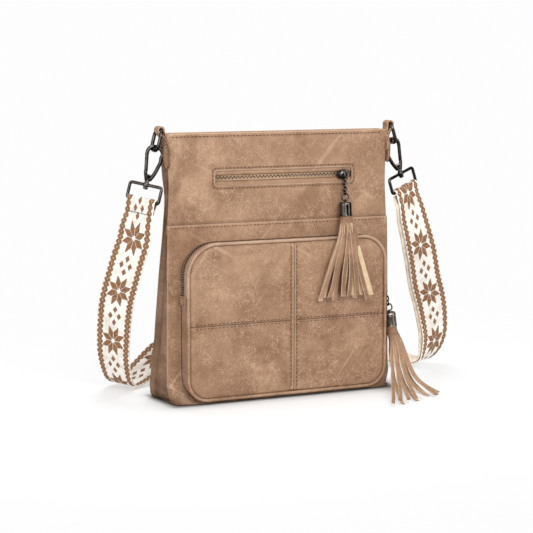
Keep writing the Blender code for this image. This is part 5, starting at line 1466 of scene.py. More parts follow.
def pocket_face(side):
    """From the upright seam to one side. Rows crowd at the top, the bottom and the seam."""
    low, high = POCKET_LOW + FACE_INSET, POCKET_HIGH - FACE_INSET
    ease = 0.5 - 0.5 * np.cos(np.linspace(0, math.pi, 46))
    z = np.concatenate([low + (SEAM_Z - low) * ease, SEAM_Z + (high - SEAM_Z) * ease[1:]])[:, None]
    way = SIDES[side]["way"]
    share = np.sin(np.linspace(0, math.pi / 2, 58))
    x = (SEAM_X + (way * outline_reach(z, side) - SEAM_X) * share)[:, ::way]
    y, edge = pocket_surface(x, z)
    return panel(x, y, z, edge, 0)


def seam_strip():
    """The upright seam's cover: two ridges close together, a stitched flat on each side. The ridges
    are painted pale, partly rubbed wear and partly painted highlight, and painted shade darkens
    the line between them, the stitched dents and the cover's edges.
    """
    z = np.linspace(POCKET_LOW + 2.6 * MM, POCKET_HIGH - 2.6 * MM, 90)[:, None]
    half = 4.3 * MM
    u = np.linspace(-half, half, 27)
    off = np.abs(u)
    lift = 0.65 * MM * ramp(half - off, 0.7 * MM) ** 0.5
    ridge = 0.75 * MM * near_to(off - 1.1 * MM, 0.6 * MM) - 0.45 * MM * near_to(u, 0.4 * MM)
    dent = 0.25 * MM * near_to(off - 3.0 * MM, 0.55 * MM)
    y = (pocket_surface(SEAM_X + u, z)[0] - 0.25 * MM - lift - ridge + dent
         + 0.1 * MM * np.sin(z * 400))
    seam = (0.2 * near_to(off - 3.0 * MM, 0.9 * MM) + 0.9 * near_to(u, 0.45 * MM)
            + 0.3 * near_to(off - half, 0.5 * MM))
    return panel(SEAM_X + u, y, z, np.clip(seam, 0, 1), 0.95 * near_to(off - 1.15 * MM, 0.6 * MM))


quarters = ["pocket_face_" + name
            for name in ("upper_left", "lower_left", "upper_right", "lower_right")]
face = join([pocket_face(side) for side in SIDES])
piece("pocket_front", face, PANEL_LEATHER, quarters, facing=FRONT, thick=1.0 * MM)
piece("pocket_strip", seam_strip(), tan_leather, ["pocket_seam_strip"], facing=FRONT,
      thick=0.4 * MM)

# %% [markdown]
# Double rows of stitches follow both seams: beside the strip's ridges, and above and below the
# level seam.

# %% The pocket's stitches
rows = []
z = np.arange(POCKET_LOW + 6 * MM, POCKET_HIGH - 5 * MM, 3 * MM)
for offset in (-3.0 * MM, 3.0 * MM):
    x = SEAM_X + offset
    rows.append(sewn(spread(x, pocket_surface(x + 0 * z, z)[0] - 0.72 * MM, z), FRONT))
for side, start in (("left", 6.5 * MM), ("right", 6.0 * MM)):
    way = SIDES[side]["way"]
    reach = float(outline_reach(SEAM_Z, side)) - way * SEAM_X - 5 * MM
    x = np.arange(start, reach, 3 * MM) * way + SEAM_X
    for offset in (-2.1 * MM, 2.1 * MM):
        z = SEAM_Z + offset + 0 * x
        rows.append(sewn(spread(x, pocket_surface(x, z)[0], z), FRONT))
stitches("pocket_stitches", rows)

# %% [markdown]
# ## Piping, wall and zip of the pocket
#
# Round piping covers the edge between the face and the sides. The lower sides are a leather wall;
# over the top and the upper sides runs the zip, with a leather welt where it meets the bag.

# %% Piping
radii = [CORNERS[name] for name in ("low", "right", "left", "low")]
piping_line = resampled(rounded((-HALF_POCKET, POCKET_LOW), (HALF_POCKET, POCKET_HIGH), radii, 24),
                        2 * MM, True)
piping_line = lifted(piping_line, FACE_Y)
piping_line[:, 1] += 0.15 * MM * np.sin(run_length(piping_line) * 90)
piping = tube(piping_line, PIPING * 0.88, 14, True)
# Above the zip's start the piping takes the rosy leather: partly a paler leather of its own, partly a
# painted highlight on its lit top.
piping["part"] = (np.repeat(piping_line[:, 2], 14) < ZIP_START).astype(int)
# Its front is painted pale: a painted highlight, partly rubbed wear.
piping["edge"] = -0.35 * near_to(piping["points"][:, 1] - (FACE_Y - 2 * MM), 0.8 * MM)
piece("piping", piping, [rosy_leather, tan_leather], ["pocket_piping"])


# %% The pocket's wall
def pocket_path(run):
    """Evenly spaced points along the pocket's edge, over its top or round its bottom."""
    left, right, low = CORNERS["left"], CORNERS["right"], CORNERS["low"]
    if run == "top":
        arcs = [arc((left - HALF_POCKET, POCKET_HIGH - left), left, 180, 90, 24),
                arc((HALF_POCKET - right, POCKET_HIGH - right), right, 90, 0, 24)]
    else:
        arcs = [arc((low - HALF_POCKET, POCKET_LOW + low), low, 180, 270, 20),
                arc((HALF_POCKET - low, POCKET_LOW + low), low, 270, 360, 20)]
    points = [[(-HALF_POCKET, ZIP_START)], *arcs, [(HALF_POCKET, ZIP_STOP)]]
    return resampled(np.concatenate(points), 2.5 * MM)


def around_pocket(run, depths, puff):
    """A surface round the pocket: depths gives each column's y from its foot, 0 at the bag and 1 at
    the piping, and puff how far it swells out. Also the edge line, the ways out and the foot."""
    line = pocket_path(run)
    out = unit(spread(-np.gradient(line[:, 1]), np.gradient(line[:, 0])))
    out = -out if run == "bottom" else out
    foot = lower_front(line[:, 1]) - GAP
    y = foot[:, None] + (FACE_Y + PIPING * 0.6 - foot)[:, None] * depths
    x, z = (line[:, [k]] + out[:, [k]] * puff for k in (0, 1))
    return grid(spread(x, y, z), spread(run_length(line)[:, None], y)), line, out, foot


depths = np.concatenate([np.linspace(0, 0.2, 5), np.linspace(0.2, 0.85, 10)[1:],
                         np.linspace(0.85, 1, 4)[1:]])
puff = 1.7 * MM * near_to(depths, 0.05) + 0.9 * MM * np.sin(math.pi * depths).clip(0) ** 0.6
wall, line, out, foot = around_pocket("bottom", depths, puff)
# The wall is painted dark near its sewn foot and in the groove under the piping, painted shade, and
# pale right at its foot, partly rubbed wear and partly painted highlight.
edge = (np.clip(0.9 * near_to(depths - 0.12, 0.06) + 0.8 * near_to(depths - 1, 0.07), 0, 1)
        - 0.6 * near_to(depths, 0.05))
wall["edge"] = np.tile(edge, len(line))
piece("pocket_wall", wall, PANEL_LEATHER, ["pocket_gusset"])
foot_line = lifted(line + out * 1.15 * MM, foot - 3.1 * MM)
edge_rows = [sewn(foot_line[2:-2], lifted(out[2:-2]))]

# %% The pocket's zip
WELT_FROM, HEM_TO, TEETH_AT = 0.60, 0.06, 0.38  # shares of the way from the bag to the piping
depths = np.linspace(0, 1, 26)
puff = 0.9 * MM * np.sin(math.pi * np.clip((depths - 0.62) / 0.38, 0, 1)).clip(0) ** 0.6
puff += 0.6 * MM * near_to(depths - WELT_FROM, 0.03) - 0.5 * MM * near_to(depths, 0.12)
welt, line, out, foot = around_pocket("top", depths, puff)
kind = np.where(depths[:-1] < HEM_TO, 0, np.where(depths[:-1] < WELT_FROM, 1, 2))
welt["part"] = np.tile(kind, len(line) - 1)
# The band is painted dark at its foot and along the welt's fold: painted shade.
edge = np.clip(near_to(depths, 0.05) + 0.7 * near_to(depths - 0.58, 0.03), 0, 1)
welt["edge"] = np.tile(edge, len(line))
piece("pocket_zip_band", welt, [tan_leather, tape_cloth, rosy_leather], ["pocket_zip"],
      slot="zip_tape")
teeth_line = lifted(line + out * 0.5 * MM, foot + (FACE_Y + PIPING * 0.6 - foot) * TEETH_AT)
teeth("pocket_teeth", teeth_line, lifted(out), 2.7 * MM, 2.5 * MM, 0.55 * MM, 0.9 * MM)

for side, top in (("left", ZIP_START), ("right", ZIP_STOP - 1.5 * MM)):
    way = SIDES[side]["way"]
    middle = way * (HALF_POCKET + LEATHER / 2 + GAP)
    x0, x1 = sorted((middle - way * 0.6 * MM, middle + way * 1.4 * MM))
    low = np.array([x0, FACE_Y + PIPING + 2.0 * MM, top - 10 * MM])
    high = np.array([x1, LOWER_FRONT_Y - 1.8 * MM, top + 0.6 * MM])
    patch = block(low, high, 0.5 * MM)
    # Its top edge is painted pale: partly rubbed wear, partly a painted highlight.
    patch["edge"] = -0.6 * near_to(patch["points"][:, 2] - high[2], 0.9 * MM)
    piece("zip_end_" + side, patch, tan_leather, ["pocket_zip_tab_" + side])
    ring = rounded(low[1:] + 1.5 * MM, high[1:] - 1.5 * MM, 0.8 * MM, 3)
    ring = resampled(spread(middle + way * 1.35 * MM, *ring.T), 1 * MM, True)
    edge_rows.append(sewn(ring, (way, 0, 0), 3.2 * MM, True, 2.2 * MM))
stitches("edge_stitches", edge_rows)

# %% [markdown]
# ## Sliders, chains and caps
#
# Each slider is a rounded body under a dome, with an eye. The chain links, split ring and cap
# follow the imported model's own steps down from that eye, so each hangs on the one above. A cap
# is a turned bell with a rolled foot and two pins.

# %% Chains and caps
EYE_WIRE, EYE_RADIUS, LINK_WIRE, LINK_WIDTH = 1.2 * MM, 1.8 * MM, 1.1 * MM, 4.6 * MM
STOUT = 0.2 * MM  # the seen wires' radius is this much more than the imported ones'
RING_WIRE, RING_WIDTH, CAP_WALL, CAP_EYE = 1.2 * MM, 9.5 * MM, 0.8 * MM, 1.9 * MM
CAP_RADIUS, CAP_LENGTH = 6.5 * MM, 15.5 * MM
TASSELS = {
    "front": {"lean": (0, 5.5), "first": 0, "links": 4, "link": 6.0 * MM, "cap": dark_nickel},
    "side": {"lean": (14, 0), "first": 90, "links": 5, "link": 7.2 * MM, "cap": lit_cap_metal},
}


def oval_path(length, width, steps=14):
    """A closed path in X and Z with straight sides and round ends."""
    r, s = width / 2, (length - width) / 2
    return np.concatenate([arc((0, s), r, 0, 180, steps), arc((0, -s), r, 180, 360, steps)])


def wire(path, radius, sides=10):
    """A closed ring of wire in the plane of X and Z."""
    return tube(lifted(path), radius, sides, True)


def turn(degrees, axis):
    return Matrix.Rotation(math.radians(degrees), 4, axis)


def shift(x, y, z):
    return Matrix.Translation((x, y, z))


def bell(foot, top):
    """The cap's profile: a rolled foot, a shallow waist, a bead and a domed shoulder."""
    r = CAP_RADIUS + 0.5 * MM
    inner, waist = r - CAP_WALL, top - foot - 3.6 * MM
    rolled = ((-0.45, -0.05), (-0.1, 0.05), (0.1, 0.45), (0.05, 1.0), (-0.25, 1.3))
    profile = [(inner - 0.4 * MM, foot + 5 * MM), (inner - 0.1 * MM, foot + 0.5 * MM)]
    profile += [(r + across * MM, foot + up * MM) for across, up in rolled]
    profile += [(r - (0.25 + 0.12 * math.sin(math.pi * t)) * MM, foot + 1.3 * MM + t * waist)
                for t in (0.2, 0.5, 0.8, 1)]
    profile += arc((r - 2.3 * MM, top - 2.0 * MM), 2.0 * MM, 0, 84, 8).tolist()
    return profile + [(r - 3.2 * MM, top), (0.8 * MM, top + 0.1 * MM)]


def cap_shape(foot, top, eye, eye_turn):
    """The bell, its wire eye, and two riveted pins on its front."""
    loop = wire(arc((0, 0), CAP_EYE, 0, 360, 21)[:-1], RING_WIRE / 2)
    stud = turned(np.array([(0.2, 0), (0.85, 0), (0.8, 0.35), (0.45, 0.6), (0.05, 0.68)]) * MM, 12)
    parts = [turned(bell(foot, top), 36), moved(loop, shift(0, 0, eye) @ turn(eye_turn, "Z"))]
    for height in (2.7 * MM, 11.3 * MM):
        at = shift(0, 0, foot + height) @ turn(-24, "Z") @ turn(90, "X")
        parts.append(moved(stud, at @ shift(0, 0, CAP_RADIUS - 0.1 * MM)))
    return join(parts)


def hang_tassel(name, eye):
    """Makes the links, ring and cap. Gives the cap's frame and its foot in that frame."""
    facts = TASSELS[name]
    lean, count, half = facts["lean"], facts["links"], (facts["link"] - LINK_WIRE) / 2
    hang = shift(*eye) @ turn(-lean[0], "Y") @ turn(-lean[1], "X")
    link = wire(oval_path(2 * half + 0.1 * MM, LINK_WIDTH - LINK_WIRE + 0.9 * MM),
                LINK_WIRE / 2 + STOUT)
    below, last_wire, wires = 0.0, EYE_WIRE / 2, []
    for i in range(count):
        centre = below + last_wire + LINK_WIRE / 2 + GAP - half
        wires.append(moved(link, hang @ shift(0, 0, centre) @ turn(facts["first"] + 90 * i, "Z")))
        below, last_wire = centre - half, LINK_WIRE / 2
    radius, ring_turn = (RING_WIDTH - RING_WIRE) / 2, facts["first"] + 90 * count
    centre = below + last_wire + RING_WIRE / 2 + GAP - radius
    ring = wire(oval_path(2 * radius, 2 * radius, 18), RING_WIRE / 2 + STOUT)
    wires.append(moved(ring, hang @ shift(0, 0, centre) @ turn(ring_turn, "Z")))
    nodes = [f"{name}_link_{i + 1}" for i in range(count)] + [name + "_ring"]
    piece(name + "_chain_wires", join(wires), dark_nickel, nodes, name + "_chain")

    lowest = hang @ shift(0, 0, centre - radius) @ turn(lean[0] * 0.5, "Y")
    top = -RING_WIRE / 2 - 0.5 * MM
    cap = cap_shape(top - CAP_LENGTH, top, RING_WIRE + GAP - CAP_EYE, ring_turn + 90)
    piece(name + "_bell", moved(cap, lowest), facts["cap"], [name + "_cap"], name + "_tassel",
          angle=40)
    return lowest, top - CAP_LENGTH


# %% [markdown]
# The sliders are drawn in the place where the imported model's sliders stand, then ride with them.
# The pocket's slider lies on its side, because the zip goes down there.

# %% Sliders
FRONT_SLIDER = Vector((WINDOW["right"] - 12 * MM, -0.0174, WINDOW_Z))
POCKET_SLIDER = Vector((HALF_POCKET + 1.35 * MM + GAP, -0.028, ZIP_STOP + 6.5 * MM))
SIDEWAYS = Matrix(((0, -1, 0, 0), (0, 0, 1, 0), (-1, 0, 0, 0), (0, 0, 0, 1)))


def dome(radius, height):
    """A low dome on a short rim: the profile is a quarter of an ellipse."""
    t = np.linspace(0, math.pi / 2 - 0.08, 9)
    rim = [[radius * 0.6, -0.8 * MM], [radius * 1.04, -0.8 * MM], [radius * 1.04, 0.1 * MM]]
    return turned(np.vstack([rim, spread(radius * np.cos(t), 0.4 * MM + height * np.sin(t))]))


def slider_body(half_wide, half_tall, thick):
    """A slider's plate seen from the front: it narrows to a wedge at one end."""
    plate = block((-half_wide, -thick, -half_tall), (half_wide, 0, half_tall), 0.7 * MM)
    plate["points"][:, 2] *= 1 - 0.28 * np.clip(-plate["points"][:, 0] / half_wide, 0, 1) ** 2
    return plate


def slider(name, parts, place, eye):
    """Makes a slider from parts drawn round its own middle, and hangs its tassel on the eye."""
    where = Matrix.Translation(place)
    piece(name + "_body", moved(join(parts), where), dark_nickel, [name.replace("_", "_zip_")],
          name, angle=40)
    return hang_tassel("front" if name == "front_slider" else "side",
                       place + eye + Vector((0, 0, -EYE_RADIUS)))


eye_loop = wire(oval_path(2 * EYE_RADIUS, 2 * EYE_RADIUS), EYE_WIRE / 2)
eye = Vector((0, -5.6 * MM, -6.2 * MM))
parts = [slider_body(6.2 * MM, 5.5 * MM, 2.0 * MM),
         moved(dome(5.0 * MM, 2.8 * MM), shift(0, -1.6 * MM, 0) @ turn(90, "X"))]
parts += [block((-1.2 * MM, -6.6 * MM, -5.9 * MM), (1.2 * MM, -1.0 * MM, -4.1 * MM), 0.5 * MM)]
parts += [moved(eye_loop, shift(*eye) @ turn(90, "Z"))]
CAPS = {"front": slider("front_slider", parts, FRONT_SLIDER, eye)}

eye = Vector((3.6 * MM, 0, -6.0 * MM))
parts = [moved(slider_body(5.0 * MM, 4.4 * MM, 2.2 * MM), SIDEWAYS)]
parts += [moved(dome(3.7 * MM, 2.1 * MM), shift(1.8 * MM, 0, 0.3 * MM) @ turn(90, "Y")),
          moved(eye_loop, shift(*eye))]
CAPS["side"] = slider("pocket_slider", parts, POCKET_SLIDER, eye)

# %% [markdown]
# ## Tassels
#
# A tassel is a roll of leather cut into strips about 5 mm wide. Every strip is a flat ribbon that
# leaves the neck, follows a line down through the fringe's flattened sections, and ends in a
# slanting cut. Its faces are tan, its cut edges cream. The strips lie in two or three layers, and
# each turns and wanders a little by its own amounts.

# %% The fringes' sections
NECK = 5.4 * MM
# Each section of the front fringe in mm: above the pocket, ahead of it, aside, half sizes.
FRONT_FRINGE = (
    (14, -8, 2.1, 6.6, 5.6), (8.5, 0, 6.0, 8.0, 5.0), (3, 6.6, 8.6, 10.0, 4.4),
    (-9, 7.4, 9.6, 14.0, 4.6), (-29, 7.6, 10.8, 22.5, 4.8), (-51, 7.8, 12.4, 31.5, 5.0),
    (-70, 8.0, 14.3, 40.5, 5.0),
)
# And of the side fringe: out and forward in mm, share of the ring's height, half sizes in
# mm, and the tip in degrees.
SIDE_FRINGE = (
    (5.0, -5, 0.604, 7.0, 6.0, 0), (3.0, -13, 0.46, 11.0, 6.2, 10),
    (-1, -27, 0.30, 16.5, 5.8, 22), (-6.5, -46, 0.155, 25, 5.0, 38),
    (-12, -70, 0.062, 36, 4.2, 58), (-19, -97, 0.018, 47, 2.6, 80),
)


def fringe_sections(name):
    """The fringe's flattened sections in world space, nine numbers each: its centre, and vectors
    of its half width and half thickness."""
    cap, foot = CAPS[name]
    x, y, z = cap.translation
    necks = ((foot + 5 * MM, 0.95), (foot, 1.0), (foot - 4 * MM, 0.98))
    rows = [(*(cap @ Vector((0, 0, height))), *(cap.col[0].xyz * NECK * w),
             *(cap.col[1].xyz * NECK * w)) for height, w in necks]
    if name == "front":
        rows.pop()
        for above, ahead, aside, wide, thick in np.array(FRONT_FRINGE) * MM:
            rows.append((x - aside, FACE_Y - ahead, POCKET_HIGH + above, wide, 0, 0, 0, thick, 0))
        return np.array(rows)
    for out, forward, height, wide, thick, tip in SIDE_FRINGE:
        angle, skew = math.radians(tip), math.radians(20) * min(1, tip / 28)
        wide, thick = wide * MM, thick * MM
        rows.append((x + out * MM, y + forward * MM, height * z,
                     math.cos(skew) * wide, math.sin(skew) * wide, 0,
                     0, math.cos(angle) * thick, -math.sin(angle) * thick))
    return np.array(rows)


print(len(fringe_sections("front")), "sections down the front fringe")

# %% Tassel strips
STRIP_THICK = 1.15 * MM
# Round a strip's ring: across and through it, then which of its 14 sides are cut edges, and which
# are the leather's back where the strip hangs face out and where it is turned over.
RING_ACROSS = np.array([-0.86, -0.5, 0, 0.5, 0.86, 1.0, 1.0, 0.86, 0.5, 0, -0.5, -0.86, -1.0, -1.0])
RING_THROUGH = np.array([1, 1, 1, 1, 1, 0.3, -0.3, -1, -1, -1, -1, -1, -0.3, 0.3])
FACE_OUT = np.array([0, 0, 0, 0, 1, 1, 1, 2, 2, 2, 2, 1, 1, 1])
TURNED_OVER = np.array([2, 2, 2, 2, 1, 1, 1, 0, 0, 0, 0, 1, 1, 1])
TURN_FROM = 0.47  # the share of a strip's length from which the turned-over one shows its back
FRINGE_LAYERS = {  # depth of the layer, strips in it, how wide they spread, and their length
    "front": ((-0.85, 8, 1.0, 1.0), (0.15, 5, 0.85, 0.97), (0.85, 5, 0.9, 0.98)),
    "side": ((-0.85, 7, 1.0, 1.0), (0.7, 3, 0.8, 0.97)),
}


def strip(sections, place, layer, width, wander, seed, length, flip):
    """One strip: its middle line lies at a share (place, layer) of each section, and wanders by
    sines of the way down. It faces away from the tassel's middle at the neck and flattens out."""
    run = run_length(sections[:, :3])
    keep = run <= run[-1] * length
    run, share = run[keep], run[keep] / run[keep][-1]
    centre, wide, through = np.split(sections[keep], 3, axis=1)
    drift = place + wander * np.sin(share * 4.2 + seed) * share**1.5
    depth = layer + 0.25 * np.sin(share * 6 + seed * 1.7) * share
    line = centre + wide * drift[:, None] + through * depth[:, None]
    along = along_line(line)
    curl = (np.clip(1 - share * 3.2, 0, 1) * place * 1.2
            + 0.35 * np.sin(seed * 2.3 + share * 3.0) * share)
    face = unit(through) * np.sign(layer if abs(layer) > 0.05 else -1) + unit(wide) * curl[:, None]
    face = unit(face - along * (face * along).sum(1, keepdims=True))
    across = np.cross(along, face)
    half = np.clip(0.62 + share * 1.6, 0, 1)[:, None, None] * width / 2
    bow = 0.35 * MM * np.cos(seed * 3.1) * (1 - RING_ACROSS**2)
    through_ring = (RING_THROUGH * STRIP_THICK / 2 + bow)[:, None]
    points = (line[:, None] + across[:, None] * (half * RING_ACROSS[:, None])
              + face[:, None] * through_ring)
    points[-1] += along[-1] * (width * 0.25 * math.sin(seed * 5.1) * RING_ACROSS)[:, None]
    shape = sleeve(points, spread(RING_ACROSS * width / 2, run[:, None]))
    shape["part"] = np.tile(FACE_OUT, len(line) - 1)
    if flip:
        first = int(TURN_FROM * (len(line) - 1))
        shape["part"][first * 14 :] = np.tile(TURNED_OVER, len(line) - 1 - first)
    return shape


def fringe(name, seed):
    """The strips of each layer side by side, each with its own small random differences."""
    sections = smooth_path(fringe_sections(name), 3.5 * MM)
    random = np.random.default_rng(seed)
    narrower = 1.0 if name == "front" else 0.86
    strips = []
    for layer, count, spread_out, length in FRINGE_LAYERS[name]:
        for k in range(count):
            place = spread_out * (-1 + 2 * (k + 0.5) / count) + random.uniform(-0.06, 0.06)
            depth = layer * math.sqrt(max(0.0, 1 - (place * 0.85) ** 2)) + random.uniform(-0.1, 0.1)
            width = random.uniform(4.6, 5.6) * narrower * MM
            wander, own = random.uniform(-0.13, 0.13), random.uniform(0, 6.28)
            flip = name == "front" and layer < 0 and k == count - 1
            strips.append(strip(sections, place, depth, width, wander, own,
                                length * random.uniform(0.94, 1.0), flip))
    return strips


def neck_roll(name):
    """The rolled top of the fringe: a smooth sleeve of leather round its first 15 mm, following
    the same line and the same flattened sections, a little wider than the strips inside it."""
    smooth = smooth_path(fringe_sections(name), 1.5 * MM)
    smooth = smooth[run_length(smooth[:, :3]) <= 15 * MM]
    t = np.linspace(0, 2 * math.pi, 49)[:-1, None]
    share = np.linspace(0, 1, len(smooth))[:, None, None]
    centre, wide, through = np.split(smooth[:, None], 3, axis=2)
    fuller = wide * (1 + 1.1 * MM / np.linalg.norm(wide, axis=2, keepdims=True))
    deeper = through * (1 + 1.3 * MM / np.linalg.norm(through, axis=2, keepdims=True))
    draw_in = 1 - 0.12 * np.clip(share * 12 - 11, 0, 1) + 0.015 * np.sin(t * 7 + share * 2)
    return sleeve(centre + (fuller * np.cos(t) + deeper * np.sin(t)) * draw_in)


for name, seed in (("front", 5), ("side", 12)):
    shape = join([*fringe(name, seed), neck_roll(name)])
    piece(name + "_strips", shape, [tassel_leather, pale_edge, pale_back], [name + "_fringe"],
          name + "_tassel", angle=35)

# %% [markdown]
# ## Rings, hooks and gates
#
# The hook is a wire with a forked collar for the gate and a riveted swivel stud below. The
# strap's rectangular ring turns on the stud, and its boss is a short turned sleeve.

# %% Rings and hooks
BOSS_HALF = 2.4 * MM
GATE_X, GATE_Z = -3.4 * MM, 11.5 * MM  # the gate's pivot in the hook's own frame
HOOK_LEG = ((6.6, 26.2), (5.6, 20.5), (4.5, 15.0), (3.3, 10.5), (1.6, 6.0))  # x and z in mm
HOOK_BELLY, HOOK_BOW = 2.4 * MM, 3.2 * MM
BOSS_PROFILE = np.array([(1.75, -2.4), (2.8, -2.4), (3.05, -2.0), (3.05, 2.0), (2.8, 2.4),
                         (1.75, 2.4)]) * MM


def hook_line():
    """From the nose over the bend and down the leg, which swells aside and bows forward."""
    high = HOOK_REACH - HOOK_RADIUS
    nose = [(-HOOK_RADIUS, high - 2.6 * MM)]
    line = np.concatenate([nose, arc((0, high), HOOK_RADIUS, 180, -22, 30),
                           np.array(HOOK_LEG) * MM])
    x, _, z = smooth_path(lifted(line), 1 * MM).T
    belly = near_to(x - 9 * MM, 7 * MM)
    return spread(x + HOOK_BELLY * belly, -HOOK_BOW * belly, z)


def round_ended(line, radius, sides=14):
    """A wire whose ends close in a half ball: the last rings shrink as a circle does."""
    way = along_line(line)
    t = np.linspace(0, math.pi / 2, 5)[1:, None]
    head = line[0] - way[0] * radius * np.sin(t)[::-1]
    tail = line[-1] + way[-1] * radius * np.sin(t)
    near = np.maximum(np.cos(t[:, 0]), 0.04) * radius
    radii = np.concatenate([near[::-1], np.full(len(line), radius), near])
    return tube(np.concatenate([head, line, tail]), radii, sides)


def second_finish(shape):
    """The same shape in the piece's second finish."""
    return dict(shape, part=np.ones(len(shape["part"]), int))


def hook_shapes():
    """The wire, the stud turned through the ring's boss, and the collar: a web that narrows
    downwards, and a stub of wire for the gate's foot."""
    end = (BOSS_HALF + GAP) / MM
    stud = [(0.3, -end - 2.3), (1.7, -end - 2.1), (2.5, -end - 1.4), (2.6, -end), (1.3, -end),
            (1.3, end), (2.4, end), (2.5, 3.4), (2.0, 4.4), (1.7, 5.4), (2.0, 6.6)]
    web = block((-3.2 * MM, -1.5 * MM, 4.6 * MM), (3.8 * MM, 1.5 * MM, 11.4 * MM), 0.9 * MM)
    web["points"][:, 0] *= 0.45 + 0.55 * ramp(web["points"][:, 2] - 5 * MM, 6.4 * MM)
    stub = lifted(resampled([(-1.4 * MM, 5.4 * MM), (-4.0 * MM, 13.0 * MM)], 1.2 * MM))
    return [round_ended(hook_line(), HOOK_WIRE / 2 + 0.2 * MM), turned(np.array(stud) * MM, 24),
            second_finish(web), round_ended(stub, 1.85 * MM, 12)]


def gate_shapes():
    """The sprung gate: a straight wire up to the nose, on a flat tongue round its pin."""
    ends = [(GATE_X - 0.4 * MM, GATE_Z + 3.0 * MM),
            (-6.8 * MM, HOOK_REACH - HOOK_RADIUS - 3.0 * MM)]
    tongue = block((GATE_X - 1.5 * MM, -1.0 * MM, GATE_Z - 1.7 * MM),
                   (GATE_X + 1.2 * MM, 1.0 * MM, GATE_Z + 4.0 * MM), 0.5 * MM)
    return [round_ended(lifted(resampled(ends, 1.5 * MM)), 1.9 * MM), second_finish(tongue)]


for side, facts in SIDES.items():
    loop_place, bar_place = side_frame(side)
    half = (OVAL_WIDTH - OVAL_WIRE) / 2
    path = resampled(rounded((-half, OVAL_WIRE - OVAL_LENGTH), (half, 0), OVAL_CORNER, 12),
                     1.2 * MM, True)
    oval = moved(wire(path, OVAL_WIRE / 2 + 0.2 * MM, 14), loop_place @ turn(90, "Z"))
    piece(side + "_oval", oval, dark_nickel, [side + "_oval_ring"], side + "_ring")
    for name, shapes in (("hook", hook_shapes()), ("gate", gate_shapes())):
        node = side + ("_hook_body" if name == "hook" else "_hook_gate")
        piece(f"{side}_{name}_wire", moved(join(shapes), bar_place), [dark_nickel, lit_web_metal],
              [node], f"{side}_{name}", angle=40)
    half = RECT_WIDTH / 2
    path = resampled(rounded((-half, -RECT_DROP), (half, 0), RECT_CORNER), 0.9 * MM, True)
    rect = moved(wire(path, RECT_WIRE / 2 + 0.12 * MM, 14), turn(facts["bar_turn"], "Z"))
    rect = moved(join([rect, turned(BOSS_PROFILE)]), bar_place)
    piece(side + "_rect", rect, dark_nickel, [side + "_rect_ring"], angle=40)

# %% [markdown]
# ## Tabs
#
# A tab is one leather strip folded over the oval ring. It lies double on the side of the bag, is
# stitched round its edge, and its ends are round. Where the strip leaves the ring, it turns a
# little forward, and a thin line of dark paint covers its cut edge.

# %% Tabs
TAB_WIDTH, TAB_NECK, TAB_LENGTH = 12.0 * MM, 11.5 * MM, 36 * MM
TAB_TWIST, TAB_FORWARD = math.radians(10), 9.5 * MM
PAINT_REACH = 40 * MM  # the edge paint's length along each side


def tab_path(side):
    """The strip's middle: up the side of the bag, round the oval ring, and down under itself."""
    way, loop = SIDES[side]["way"], side_frame(side)[0].translation

    def on_side(layers, *heights):
        off = GAP + LEATHER / 2 + layers * (LEATHER + GAP)
        return [(way * (float(gusset_outer(1 / 7, z)) + off), z) for z in heights]

    low = HEIGHT - TAB_LENGTH
    points = on_side(1, low, low + 0.012, low + 0.024, HEIGHT - 0.007)
    points[-1] = (points[-1][0] + way * 0.4 * MM, points[-1][1])
    round_ring = arc((0, 0), OVAL_WIRE / 2 + GAP + LEATHER / 2 + 0.5 * MM, -15, 195, 15)
    points += [(loop.x + way * out, loop.z + up) for out, up in round_ring]
    points += on_side(0, HEIGHT - 0.0085, HEIGHT - 0.016, HEIGHT - 0.024)
    return smooth_path(lifted(points, SIDE_MIDDLE), 1.2 * MM)


for side, facts in SIDES.items():
    way, path = facts["way"], tab_path(side)
    length = run_length(path)
    to_end = np.minimum(length, length[-1] - length)
    short = np.clip(1 - to_end / (TAB_WIDTH / 2), 0, 0.97)
    above, lower = ramp(path[:, 2] - HEIGHT + 0.012, 0.010), ramp(HEIGHT + 0.004 - path[:, 2], 0.02)
    widths = (TAB_WIDTH + (TAB_NECK - TAB_WIDTH) * above) * np.sqrt(1 - short**2)
    across = spread(way * np.sin(TAB_TWIST * lower), np.cos(TAB_TWIST * lower), 0)
    path = (path + lower[:, None] * np.array([way * 0.5 * MM, -TAB_FORWARD, 0])
            - np.array([0, 1.5 * MM, 0]))
    face = np.cross(along_line(path), across)
    tab = band(path, across, face, LEATHER * 1.15, np.maximum(widths, 2.4 * MM), 9)
    piece(side + "_leather_tab", tab, tan_leather, [side + "_tab"])
    face = face * (-1 if face[2, 0] * way < 0 else 1)
    inside_half = widths / 2 - 1.9 * MM
    seen = (path[:, 2] < HEIGHT - 3 * MM) & (length < 0.045) & (inside_half > 1 * MM)
    painted = np.searchsorted(length, PAINT_REACH)
    rows, edges = [], []
    for sign in (-1, 1):
        row = (path[seen] + across[seen] * (sign * inside_half[seen])[:, None]
               + face[seen] * (LEATHER / 2))
        rows.append(sewn(row[::sign], (way, 0, 0), 3.2 * MM, False, 2.3 * MM))
        edges.append((path + across * (sign * widths / 2)[:, None])[:painted])
    edge_line = (np.concatenate([edges[0][::-1], edges[1]])
                 + np.median(face[seen], 0) * (LEATHER / 2))
    piece(side + "_tab_edge", tube(edge_line, 0.42 * MM, 8), edge_paint)
    stitches(side + "_tab_stitches", rows)

# %% [markdown]
# ## The inside
#
# The lining is a fabric bag that follows the walls, and the pouch is a smaller one behind the
# front zip. The top zip closes the bag just below the rim: two tapes and their teeth, drawn in
# the same way as the front zip's.


